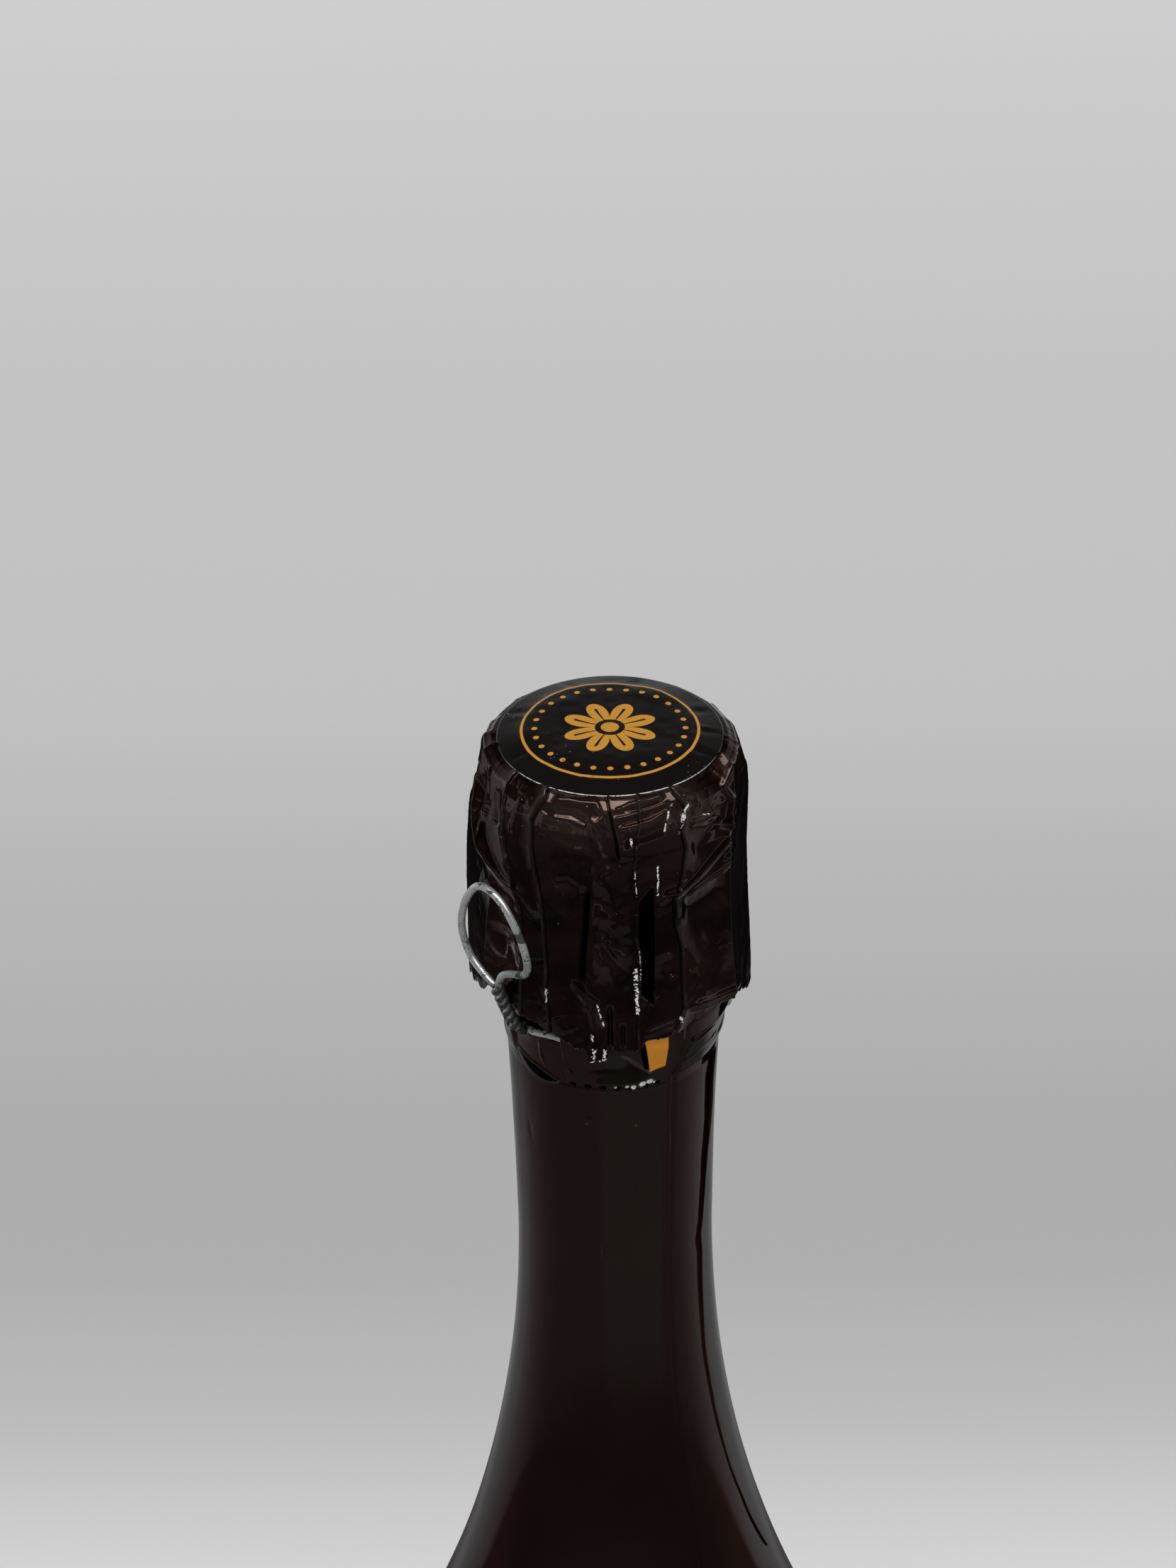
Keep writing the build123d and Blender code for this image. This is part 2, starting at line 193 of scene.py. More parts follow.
def add_piece(name, points, faces, material, sharp_degrees=180, welded=True):
    """Smooth mesh piece from points in millimetres; edges sharper than an angle stay crisp."""
    mesh = bpy.data.meshes.new(name)
    mesh.from_pydata((np.asarray(points, float) * mm).tolist(), [], faces)
    mesh.polygons.foreach_set("use_smooth", [True] * len(mesh.polygons))
    if welded:
        weld = bmesh.new()
        weld.from_mesh(mesh)
        bmesh.ops.remove_doubles(weld, verts=weld.verts, dist=weld_reach)
        bmesh.ops.dissolve_degenerate(weld, edges=weld.edges, dist=weld_reach)
        bmesh.ops.recalc_face_normals(weld, faces=weld.faces)
        weld.to_mesh(mesh)
        weld.free()
    if sharp_degrees < 180:
        mesh.set_sharp_from_angle(angle=math.radians(sharp_degrees))
    mesh.materials.append(material)
    piece = bpy.data.objects.new(name, mesh)
    scene.collection.objects.link(piece)
    return piece


weld_reach = 1e-7
floor_half, floor_drop = 4.0 / mm, 0.1
# The floor's colour is painted lighter and darker with distance behind the bottle, standing in for the fall
# of light over it: painted light and shade.
floor_painted_light = [(0.18, 0.63), (0.228, 0.48), (0.277, 0.415), (0.331, 0.41), (0.389, 0.44), (0.453, 0.48),
               (0.524, 0.535), (0.69, 0.565), (0.9, 0.63), (1.03, 0.68)]
painted_light_from, painted_light_to = 0.15, 1.05

floor_finish, start, shader = start_finish("studio_floor")
stops = []
for place, tone in floor_painted_light:
    stops.append(((place - painted_light_from) / (painted_light_to - painted_light_from), (tone, tone, tone, 1)))
share = (axis(place_on(start), 1) - painted_light_from) / (painted_light_to - painted_light_from)
tone = start.node("ValToRGB", {"stops": stops}, {"Fac": share})
apply_finish(start, shader, {"Base Color": tone, "Roughness": 0.9, "Specular IOR Level": 0.0})
floor_points = []
for x, y in ((-1, -1), (1, -1), (1, 1), (-1, 1)):
    floor_points.append((x * floor_half, y * floor_half, -floor_drop))
floor = add_piece("studio_floor", floor_points, [(0, 1, 2, 3)], floor_finish)


def add_card(name, lift, corners, cover, glow):
    """Card above the floor that only mirror reflections see, from its covering share and its glow."""
    card_finish, start, shader = start_finish(name)
    start.tree.nodes.remove(shader)
    dim = start.node("Emission", {}, {"Color": card_tint, "Strength": glow(start)})
    clear = start.node("BsdfTransparent")
    seen = start.node("MixShader", {}, {0: cover(start), 1: clear, 2: dim})
    start.tree.links.new(seen.socket, start.tree.nodes["Material Output"].inputs["Surface"])
    card = add_piece(name, [(x, y, lift) for x, y in corners], [list(range(len(corners)))], card_finish)
    for rays in ("camera", "diffuse", "shadow", "transmission"):
        setattr(card, "visible_" + rays, False)


def between_azimuths(value, low, high):
    """Smooth step of an azimuth between two that are given in degrees."""
    return between(value, math.radians(low), math.radians(high))


def front_cover(start):
    """Full in front of the bottle and gone at its sides, sooner on the right, and full again far off."""
    azimuth, reach = place_round(start)
    sides = between_azimuths(-azimuth, *left_gap) + between_azimuths(azimuth, *right_gap)
    return largest(1 - gap_share * sides, between(reach, *gap_end), 1 - between(reach, *gap_start))


def front_glow(start):
    """Dim near the bottle and dimmer beyond, but for a paler window on either side, for the hood."""
    azimuth, reach = place_round(start)
    window = largest(between_azimuths(-azimuth, *left_window), between_azimuths(azimuth, *right_window))
    behind = largest(between_azimuths(-azimuth, *left_behind), between_azimuths(azimuth, *right_behind))
    beyond = dim_far + (window_glow - dim_far) * window * between(reach, *window_start)
    beyond = beyond + (behind_glow - beyond) * behind
    glow = dim_near + (beyond - dim_near) * between(reach, *near_end)
    in_front = 1 - between(abs(azimuth), *last_sides)
    return glow + (dim_last - glow) * between(reach, *last_start) * in_front


card_tint = (1.0, 0.96, 0.96, 1)
left_gap, right_gap, gap_share = (70, 155), (75, 130), 0.85
left_window, right_window, left_behind, right_behind = (82, 110), (82, 106), (126, 138), (106, 118)
gap_start, gap_end, near_end = (0.22, 0.29), (0.36, 0.40), (0.36, 0.41)
window_start, last_start, last_sides = (0.44, 0.50), (0.52, 0.70), (1.0, 1.6)
dim_near, dim_far, dim_last, window_glow, behind_glow = 0.12, 0.030, 0.075, 0.30, 0.010
front_card_lift = 1.5
front_card = [(-2000, -2500), (2000, -2500), (2000, 900), (-2000, 900)]
add_card("front_card", front_card_lift, front_card, front_cover, front_glow)

side_card_lift = 150
side_card = []
for azimuth, reach in (
        (124, 190), (124, 158), (121.3, 141.6), (116.9, 131), (112.3, 117.6), (107.4, 113.5),
        (103.8, 108.2), (104.5, 101.3), (107.1, 91.6), (111.4, 78.8), (115.2, 59.9), (118.3, 56),
        (115, 75.4), (110.5, 88.9), (109.1, 98.4), (110.4, 105.4), (117.4, 111.3), (123.5, 116),
        (132.6, 128.5), (144.6, 139.3), (152.6, 155.2), (155, 190)):
    turn = math.radians(azimuth)
    side_card.append((reach * math.sin(turn), -reach * math.cos(turn)))
add_card("side_card", side_card_lift, side_card, lambda start: 1.0, lambda start: 0.0)

lamp_wide, lamp_deep, lamp_height, lamp_forward, lamp_power = 2.2, 0.8, 1.75, 0.60, 14.0
lamp = bpy.data.lights.new("overhead", "AREA")
lamp.shape = "RECTANGLE"
lamp.size = lamp_wide
lamp.size_y = lamp_deep
lamp.energy = lamp_power
overhead = bpy.data.objects.new("overhead", lamp)
overhead.location = (0, -lamp_forward, lamp_height)
scene.collection.objects.link(overhead)

fill_level, wall_level, room_seen = 0.80, 0.29, 0.50
wall_rise, wall_rear, wall_least = (0.0, 0.66), (-0.1, 0.75), 0.10
room = bpy.data.worlds.new("room")
scene.world = room
room.use_nodes = True
start = Shade(room.node_tree)
way = start.node("TexCoord", out=0)
rear = wall_least + (1 - wall_least) * between(axis(way, 1), *wall_rear)
wall = wall_level * (1 - between(axis(way, 2), *wall_rise)) * rear
is_seen = start.node("LightPath", out=0)
is_mirror = start.node("LightPath", out=3)
level = fill_level + (wall - fill_level) * is_mirror
level = level + (room_seen - level) * is_seen
grey = start.node("CombineColor", {}, {0: level, 1: level, 2: level})
lit = start.node("Background", {}, {"Color": grey, "Strength": 1.0})
start.tree.links.new(lit.socket, start.tree.nodes["World Output"].inputs["Surface"])


# Glass bottle: thick dark green glass, blown in a two-part mould, with a deep punt in its foot, a
# collar under the lip that holds the cage down, and a straight bore for the cork.
def mixed(share, first, second):
    """Colour that goes from first to second with a share."""
    return share.node("Mix", {"data_type": "RGBA"}, {0: share, 6: first, 7: second}, out=2)


def grain(start, size, detail=2.0, roughness=0.5, stretch=(1, 1, 1)):
    """Noise over the piece, its grains of about a size in metres, drawn out along the axes by stretch."""
    place = start.node("Mapping", {"vector_type": "TEXTURE"}, {"Vector": place_on(start), "Scale": stretch})
    return start.node("TexNoise", {}, {"Vector": place, "Scale": 1 / size, "Detail": detail,
                                       "Roughness": roughness})


def bumped(start, height, distance):
    """Normal of a surface whose height is a shade, over a distance in metres."""
    return start.node("Bump", {}, {"Height": height, "Distance": distance, "Strength": 1.0})


def arc(centre, size, start_degrees, end_degrees, steps):
    """Points (radius, height) of an arc, in millimetres."""
    angles = np.radians(np.linspace(start_degrees, end_degrees, steps + 1))
    return [(centre[0] + size * math.cos(a), centre[1] + size * math.sin(a)) for a in angles]


def grid_faces(rows, columns, closed_rows=False, closed_columns=True):
    """Faces of a grid of points, which may close on itself along its rows or its columns."""
    row, column = np.meshgrid(np.arange(rows - 1 + closed_rows), np.arange(columns - 1 + closed_columns),
                              indexing="ij")
    next_row = (row + 1) % rows
    after = (column + 1) % columns
    faces = np.stack([row * columns + column, row * columns + after,
                      next_row * columns + after, next_row * columns + column], -1)
    return faces.reshape(-1, 4).tolist()


def swung(turn, radius, height):
    """Points in millimetres at angles in radians, radii and heights, in one list."""
    points = np.broadcast_arrays(radius * np.sin(turn), -radius * np.cos(turn), height)
    return np.stack(points, -1).reshape(-1, 3)


def turned(name, outline, material, columns=192):
    """Turned piece: a closed outline of (radius, height) points in millimetres swung round the axis."""
    radius, height = np.array(outline).T[:, :, None]
    points = swung(np.arange(columns) * 2 * math.pi / columns, radius, height)
    return add_piece(name, points, grid_faces(len(outline), columns, True), material, edge_degrees)


def shoulder(body, waist, round_size, sweep_size):
    """The two tangent arcs of the shoulder, from the barrel up to the waist of the neck."""
    reach = round_size + sweep_size
    turn = math.acos(1 - (body - waist) / reach)
    base = waist_height - reach * math.sin(turn)
    low = arc((body - round_size, base), round_size, 0, math.degrees(turn), 18)
    high = arc((waist + sweep_size, waist_height), sweep_size, 180 + math.degrees(turn), 180, 40)
    return low[:-1] + high


edge_degrees = 40
glass_columns = 256
glass_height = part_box("glass_bottle")[1].z / mm
body_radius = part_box("glass_bottle")[1].x / mm
waist_height, waist_radius = 236.0, 13.85
shoulder_round, neck_sweep = 50.0, 216.0
body_wall, neck_wall = 4.9, 3.6
heel_round, punt_height, punt_crown, punt_round = 10.0, 34.0, 8.0, 9.0
foot_ring_inner, foot_bevel = 33.0, 1.2
inner_floor, inner_floor_radius, punt_wall, inner_heel = 9.0, 36.0, 8.0, 7.0
collar_radius, collar_low, collar_high = 15.8, 279.0, 285.0
collar_root, neck_top_radius, root_round = 276.8, 14.1, 1.0
collar_low_round, collar_high_round = 0.8, 0.9
lip_radius, lip_low, lip_low_round = 14.4, 291.5, 0.5
groove_radius, groove_ease = 13.4, 0.4
bore_radius, bore_low, edge_round = 9.0, 269.0, 1.2

punt_slope = math.atan2(punt_height - foot_bevel, foot_ring_inner - punt_crown)
punt_turn = math.degrees(punt_slope)
crown_start = punt_crown - punt_round * math.tan(punt_slope / 2)
outline = [(0, punt_height)]
outline += arc((crown_start, punt_height - punt_round), punt_round, 90, 90 - punt_turn, 8)
outline += [(foot_ring_inner, foot_bevel), (foot_ring_inner + foot_bevel, 0)]
outline += arc((body_radius - heel_round, heel_round), heel_round, -90, 0, 14)
outline += shoulder(body_radius, waist_radius, shoulder_round, neck_sweep)
outline += arc((neck_top_radius + root_round, collar_root + 0.3), root_round, 180, 125, 4)
outline += arc((collar_radius - collar_low_round, collar_low + collar_low_round), collar_low_round, -55, 0, 5)
outline += arc((collar_radius - collar_high_round, collar_high - collar_high_round), collar_high_round,
               0, 80, 5)
outline += [(groove_radius + groove_ease, collar_high + 0.1), (groove_radius, collar_high + 0.9)]
outline += [(groove_radius, lip_low - 0.6), (groove_radius + groove_ease, lip_low)]
outline += arc((lip_radius - lip_low_round, lip_low + lip_low_round), lip_low_round, -70, 0, 4)
outline += arc((lip_radius - edge_round, glass_height - edge_round), edge_round, 0, 90, 6)
outline += arc((bore_radius + edge_round, glass_height - edge_round), edge_round, 90, 180, 6)
outline += [(bore_radius, bore_low)]
inside = shoulder(body_radius - body_wall, waist_radius - neck_wall, shoulder_round - body_wall,
                  neck_sweep + neck_wall)
outline += inside[::-1]
outline += arc((body_radius - body_wall - inner_heel, inner_floor + inner_heel), inner_heel, 0, -90, 8)
outline += [(inner_floor_radius, inner_floor)]
outline += arc((crown_start, punt_height + punt_wall - punt_round), punt_round, 90 - punt_turn, 90, 8)
outline += [(0, punt_height + punt_wall)]

bottle_glass, start, shader = start_finish("bottle_glass")
ripple = grain(start, 14 * mm, detail=1.0, stretch=(1, 1, 2.5))
orange_peel = grain(start, 1.6 * mm)
dust = between(grain(start, 5 * mm, detail=6.0, roughness=0.7), 0.55, 0.8)
apply_finish(start, shader, {
    "Base Color": mixed(ripple, (0.016, 0.034, 0.012, 1), (0.022, 0.042, 0.014, 1)),
    "Roughness": 0.035 + 0.10 * dust,
    "IOR": 1.52,
    "Transmission Weight": 0.75,
    "Normal": bumped(start, ripple + 0.04 * orange_peel, 0.35 * mm),
})
glass = turned("bottle", outline, bottle_glass, glass_columns)
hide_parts("glass_bottle")
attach(glass, "bottle")


# Wine: fills the bottle up into the neck, well below the cork, and shows straw gold where light gets
# through the dark glass. It stops a hair short of the glass, so that their faces never coincide.
wine_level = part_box("wine")[1].z / mm
wine_gap, wine_edge = 0.03, 0.3
wine_floor = punt_height + punt_wall + wine_gap
outline = [(0, wine_floor)]
outline += arc((crown_start, wine_floor - punt_round), punt_round, 90, 90 - punt_turn, 8)
outline += [(inner_floor_radius, inner_floor + wine_gap)]
outline += arc((body_radius - body_wall - inner_heel, inner_floor + inner_heel), inner_heel - wine_gap,
               -90, 0, 8)
wall = [(radius - wine_gap, height) for radius, height in inside if height < wine_level]
outline += wall + [(wall[-1][0] - wine_edge, wine_level), (0, wine_level)]
wine_finish, start, shader = start_finish("wine")
haze = grain(start, 20 * mm)
apply_finish(start, shader, {
    "Base Color": mixed(haze, (0.80, 0.56, 0.16, 1), (0.86, 0.66, 0.24, 1)),
    "Roughness": 0.02 + 0.02 * haze,
    "IOR": 1.34,
    "Transmission Weight": 0.9,
})
wine = turned("wine_fill", outline, wine_finish)
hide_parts("wine")
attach(wine, "bottle")


# Cork: a head and shaft of pressed cork grains, pressed to a mushroom by the cage, with two discs
# of natural cork glued to the end that meets the wine.
cork_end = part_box("cork_disc_lower")[0].z / mm
disc_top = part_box("cork_disc_lower")[1].z / mm
shaft_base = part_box("cork_body")[0].z / mm
cork_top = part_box("cork_body")[1].z / mm
cork_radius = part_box("cork_body")[1].x / mm
shaft_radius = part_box("cork_disc_upper")[1].x / mm
cork_seat, cork_edge, shaft_edge, glue_edge, end_edge = 0.1, 2.4, 0.3, 0.12, 0.35
brim_out, flare_out, flare_rise, flare_round, crumb = 2.6, 3.0, 4.5, 4.1, 1.7 * mm

agglomerate, start, shader = start_finish("agglomerate_cork")
cells = start.node("TexVoronoi", {}, {"Vector": place_on(start), "Scale": 1 / crumb}, out=1)
tones = start.node("SeparateColor", {}, {0: cells}, out=0)
joints = start.node("TexVoronoi", {"feature": "DISTANCE_TO_EDGE"},
                    {"Vector": place_on(start), "Scale": 1 / crumb})
seams = 1 - between(joints, 0.0, 0.09)
pores = between(grain(start, 0.45 * mm, detail=4.0), 0.56, 0.68)
body = mixed(tones, (0.42, 0.25, 0.12, 1), (0.66, 0.46, 0.27, 1))
body = mixed(seams * 0.75, body, (0.22, 0.11, 0.05, 1))
apply_finish(start, shader, {
    "Base Color": mixed(pores * 0.6, body, (0.20, 0.10, 0.045, 1)),
    "Roughness": 0.82,
    "Normal": bumped(start, tones * 0.4 - seams * 0.5 - pores, 0.12 * mm),
})
brim = glass_height + cork_seat
outline = [(0, shaft_base)] + arc((shaft_radius - shaft_edge, shaft_base + shaft_edge), shaft_edge, -90, 0, 3)
outline += [(shaft_radius, brim), (shaft_radius + brim_out, brim)]
outline += arc((shaft_radius + flare_out, brim + flare_rise), flare_round, -80, -5, 8)
outline += [(cork_radius, brim + flare_rise)]
outline += arc((cork_radius - cork_edge, cork_top - cork_edge), cork_edge, 0, 90, 8) + [(0, cork_top)]
cork = turned("cork", outline, agglomerate)
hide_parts("cork_body")
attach(cork, "stopper")

natural, start, shader = start_finish("natural_cork")
streak = grain(start, 2.2 * mm, detail=4.0, stretch=(1, 3, 1))
pits = between(grain(start, 0.9 * mm, detail=3.0, stretch=(1, 2, 1)), 0.60, 0.66)
body = mixed(streak, (0.55, 0.36, 0.19, 1), (0.74, 0.55, 0.34, 1))
apply_finish(start, shader, {
    "Base Color": mixed(pits, body, (0.18, 0.09, 0.04, 1)),
    "Roughness": 0.75,
    "Normal": bumped(start, streak * 0.2 - pits, 0.1 * mm),
})
for name, node, base, top, edge in (("cork_disc_1", "cork_disc_lower", cork_end, disc_top, end_edge),
                                    ("cork_disc_2", "cork_disc_upper", disc_top, shaft_base, glue_edge)):
    outline = [(0, base)] + arc((shaft_radius - edge, base + edge), edge, -90, 0, 4)
    outline += arc((shaft_radius - glue_edge, top - glue_edge), glue_edge, 0, 90, 3) + [(0, top)]
    disc = turned(name, outline, natural)
    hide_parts(node)
    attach(disc, "stopper")


# Cap plate: a thin lacquered tin disc on the cork's head, with a raised middle and a rolled rim
# that the cage's ring lies against, so that the wire doesn't cut into the cork.
plate_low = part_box("cap_plate")[0].z / mm
plate_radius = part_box("cap_plate")[1].x / mm
plate_sheet, plate_rise, rim_roll = 0.3, 2.6, 0.18
plate_finish, start, shader = start_finish("plate_enamel")
brushed = grain(start, 1.2 * mm, detail=3.0, stretch=(6, 1, 1))
wear = between(grain(start, 2.5 * mm, detail=5.0, roughness=0.7), 0.60, 0.72)
enamel = mixed(brushed, (0.44, 0.27, 0.07, 1), (0.60, 0.40, 0.13, 1))
apply_finish(start, shader, {
    "Base Color": mixed(wear * 0.5, enamel, (0.55, 0.54, 0.52, 1)),
    "Metallic": 0.9,
    "Roughness": 0.26 + 0.2 * wear,
    "Coat Weight": 0.6,
    "Coat Roughness": 0.1,
})
plate_top = [(0, plate_rise), (10.2, plate_rise), (11.3, plate_rise - 0.25), (12.3, 0.35), (12.9, 0.0),
             (plate_radius - 0.3, 0.0)]
outline = [(radius, plate_low + rise) for radius, rise in plate_top]
outline += arc((plate_radius - 0.2, plate_low + 0.15), rim_roll, -90, 90, 5)
outline += [(radius, plate_low + plate_sheet + rise) for radius, rise in plate_top[::-1]]
plate = turned("cap_plate_disc", outline, plate_finish)
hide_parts("cap_plate")
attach(plate, "cage")


# Wire cage: a frame wire makes the ring on the plate and four twisted legs, and each leg's end goes
# once round the belt wire that is drawn in under the collar. Galvanised steel, dull and spotted.
def polar(azimuth, radius, height, aside=0.0):
    """Point in millimetres at an azimuth, radius and height, moved aside along the tangent."""
    turn = math.radians(azimuth)
    return np.array((radius * math.sin(turn) + aside * math.cos(turn),
                     -radius * math.cos(turn) + aside * math.sin(turn), height))


def periodic(value):
    """Difference of azimuths brought between -180 and 180."""
    return (value + 180) % 360 - 180


def smoothed(points, steps):
    """Smooth line through points, several steps between each two."""
    points = np.array(points, float)
    ends = np.vstack([2 * points[0] - points[1], points, 2 * points[-1] - points[-2]])
    line = []
    for before, here, there, after in zip(ends, ends[1:], ends[2:], ends[3:]):
        for t in np.arange(steps) / steps:
            line.append(0.5 * (2 * here + (there - before) * t
                               + (2 * before - 5 * here + 4 * there - after) * t ** 2
                               + (3 * here - before - 3 * there + after) * t ** 3))
    return np.array(line + [points[-1]])


def wire(name, path, radius, material, sides=14):
    """Round drawn wire along a path in millimetres, with rounded cut ends."""
    along = np.gradient(path, axis=0)
    along /= np.linalg.norm(along, axis=1)[:, None]
    side = np.cross(along[0], (0, 0, 1) if abs(along[0][2]) < 0.9 else (1, 0, 0))
    turn = np.arange(sides)[:, None] * 2 * math.pi / sides
    rings = []
    for centre, way in zip(path, along):
        side = side - way * side.dot(way)
        side /= np.linalg.norm(side)
        rings.append(centre + radius * (np.cos(turn) * side + np.sin(turn) * np.cross(way, side)))
    points = np.vstack(rings + [rings[0].mean(0) - along[0] * radius * wire_end,
                                rings[-1].mean(0) + along[-1] * radius * wire_end])
    faces = grid_faces(len(rings), sides)
    last_ring = (len(rings) - 1) * sides
    for column in range(sides):
        after = (column + 1) % sides
        faces.append([len(points) - 2, after, column])
        faces.append([len(points) - 1, last_ring + column, last_ring + after])
    return add_piece(name, points, faces, material, welded=False)


def strand(low, high, across, reach, turns, phase, steps=14):
    """Points of one strand of a twist about the line from low to high."""
    rise = high - low
    square = np.cross(rise / np.linalg.norm(rise), across)
    share = np.linspace(0, 1, int(turns * steps) + 1)[:, None]
    angle = phase + 2 * math.pi * turns * share
    return low + rise * share + reach * (across * np.cos(angle) + square * np.sin(angle))


def marked(start, name):
    """Shade of the numbers that a mesh stores under a name."""
    return start.node("Attribute", {"attribute_name": name}, out=2)


frame_wire, belt_wire, wire_gap, wire_end = 0.45, 0.50, 0.02, 0.3
first_leg, leg_turns, leg_radius, leg_foot, leg_head = -8.0, 4, 16.94, 2.3, 3.6
root_half, root_bend, root_out, root_line = 1.4, 0.75, 0.1, ((15.4, 0.1, 1.4), (16.5, 1.3, 1.1))
belt_radius, belt_height = 15.68, 276.2
ring_radius, ring_gap, ring_steps = 14.1, 0.05, 24
ring_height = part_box("cage_crown_ring")[0].z / mm + frame_wire
eyelet, eyelet_steps = 1.05, 8
worn_patch, worn_wide, worn_wander = (-12.5 * mm, -17.4 * mm, 297.0 * mm), (1.7 * mm, 1.9 * mm), 1.6 * mm

cage_steel, start, shader = start_finish("cage_steel")
spots = between(grain(start, 1.1 * mm, detail=5.0, roughness=0.65), 0.54, 0.64)
smears = between(grain(start, 2.0 * mm, detail=5.0, roughness=0.7), 0.56, 0.60)
away = start.node("VectorMath", {"operation": "DISTANCE"}, {0: place_on(start), 1: worn_patch}, out=1)
smears = largest(smears, 1 - between(away + worn_wander * grain(start, 0.9 * mm), *worn_wide))
scuffs = grain(start, 0.25 * mm, detail=3.0, stretch=(1, 1, 4))
twisted = marked(start, "twisted")
side, rise = axis(place_on(start), 0), axis(place_on(start), 2)
shaded = between(side, -16.5 * mm, -14.5 * mm) * between(rise, 286 * mm, 288 * mm)
shaded = shaded * (1 - between(rise, 293 * mm, 296 * mm))
zinc = mixed(spots * 0.65, (0.76, 0.78, 0.77, 1), (0.22, 0.23, 0.23, 1))
zinc = mixed(shaded * 0.6, zinc, (0.30, 0.33, 0.32, 1))
# The twist is painted dark, but for a painted highlight on each strand's upper outer side.
zinc = mixed(twisted * (0.95 - 0.80 * marked(start, "crest")), zinc, (0.032, 0.029, 0.027, 1))
apply_finish(start, shader, {
    "Base Color": mixed(smears * 0.95, zinc, (0.020, 0.022, 0.024, 1)),
    "Metallic": 0.78 - 0.5 * smears,
    "Roughness": 0.24 + 0.18 * spots + 0.15 * smears + 0.08 * scuffs,
    "Coat Weight": 0.7 * twisted,
    "Coat Roughness": 0.12,
    "Normal": bumped(start, scuffs * 0.3 - spots * 0.4 - smears, 0.03 * mm),
})

root_azimuth = math.degrees(2 * root_half / ring_radius)
for order, node in enumerate(("cage_leg_front", "cage_leg_right", "cage_leg_rear", "cage_leg_left")):
    azimuth = first_leg + 90 * order
    across = polar(azimuth, 0, 0, 1)
    low = polar(azimuth, leg_radius, belt_height + leg_foot)
    high = polar(azimuth, leg_radius, ring_height - leg_head)
    roots = []
    for side in (1, -1):
        root = [polar(azimuth + side * root_azimuth, ring_radius, ring_height),
                polar(azimuth + side * root_azimuth * root_bend, ring_radius + root_out, ring_height)]
        for out, drop, aside in root_line:
            root.append(polar(azimuth, out, ring_height - drop, side * aside))
        roots.append(root)
    right = strand(low, high, across, frame_wire + wire_gap, leg_turns, 0)
    left = strand(low, high, across, frame_wire + wire_gap, leg_turns, math.pi)
    around = []
    for step in range(1, eyelet_steps):
        share = step / eyelet_steps
        turn = math.pi / 2 + 1.5 * math.pi * share
        around.append(polar(azimuth, belt_radius + eyelet * math.cos(turn),
                            belt_height + eyelet * math.sin(turn), frame_wire * (1 - 2 * share)))
    path = smoothed(roots[0] + list(right[::-1]) + around + list(left) + roots[1][::-1], 3)
    leg = wire(node.replace("cage_", "") + "_wires", path, frame_wire, cage_steel, sides=10)
    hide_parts(node)
    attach(leg, "cage")

gap = math.degrees((2 * root_half + ring_gap) / ring_radius)
for order in range(4):
    turns = np.linspace(first_leg + 90 * order + gap, first_leg + 90 * (order + 1) - gap, ring_steps)
    path = np.array([polar(turn, ring_radius, ring_height) for turn in turns])
    ring = wire("crown_ring_%d" % (order + 1), path, frame_wire, cage_steel)
    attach(ring, "cage")
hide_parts("cage_crown_ring")

loop_azimuth, twist_reach, twist_foot = -49.0, belt_wire + wire_gap, belt_height + 0.95
belt_gap, belt_spare, belt_steps = 3.2, 2, 120
belt_end_azimuth, belt_end_out, twist_root_out = 2.4, 0.35, 0.95
belt_lift, belt_lift_out, belt_lift_azimuth, belt_lift_wide = 1.9, 0.35, -28.0, (18.0, 12.0)
path = [polar(loop_azimuth, belt_radius + twist_root_out, twist_foot, twist_reach),
        polar(loop_azimuth + belt_end_azimuth, belt_radius + belt_end_out, twist_foot)]
turns = np.linspace(loop_azimuth + belt_gap + belt_spare, loop_azimuth + 360 - belt_gap - belt_spare,
                    belt_steps)
for turn in turns:
    aside = periodic(turn - belt_lift_azimuth)
    lift = belt_lift * math.exp(-(aside / belt_lift_wide[int(aside > 0)]) ** 2)
    path.append(polar(turn, belt_radius + belt_lift_out * lift, belt_height + lift))
path += [polar(loop_azimuth - belt_end_azimuth, belt_radius + belt_end_out, twist_foot),
         polar(loop_azimuth, belt_radius + twist_root_out, twist_foot, -twist_reach)]
belt = wire("belt", smoothed(path, 3), belt_wire, cage_steel)
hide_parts("belt_wire")
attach(belt, "cage")


# Pull loop: the belt's two ends are twisted together, and the loop that they end in stands up
# against the hood, bent out of round by the machine that folds it flat. Its twist is painted dark,
# with a painted highlight on the upper outer side of each strand.
def ease(value, low, high):
    """Smooth step of an array: 0 up to low, 1 from high on."""
    t = np.clip((value - low) / (high - low), 0, 1)
    return t * t * (3 - 2 * t)


def within(value, rise_from, rise_to, fall_from, fall_to):
    """Array that rises smoothly from 0 to 1 and falls back to 0 further on."""
    return ease(value, rise_from, rise_to) * (1 - ease(value, fall_from, fall_to))


def set_marks(piece, marks):
    """Stores arrays of one number a vertex on the mesh, for its finish to read."""
    for name, values in marks.items():
        layer = piece.data.attributes.new(name, "FLOAT", "POINT")
        layer.data.foreach_set("value", np.asarray(values, np.float32).ravel())


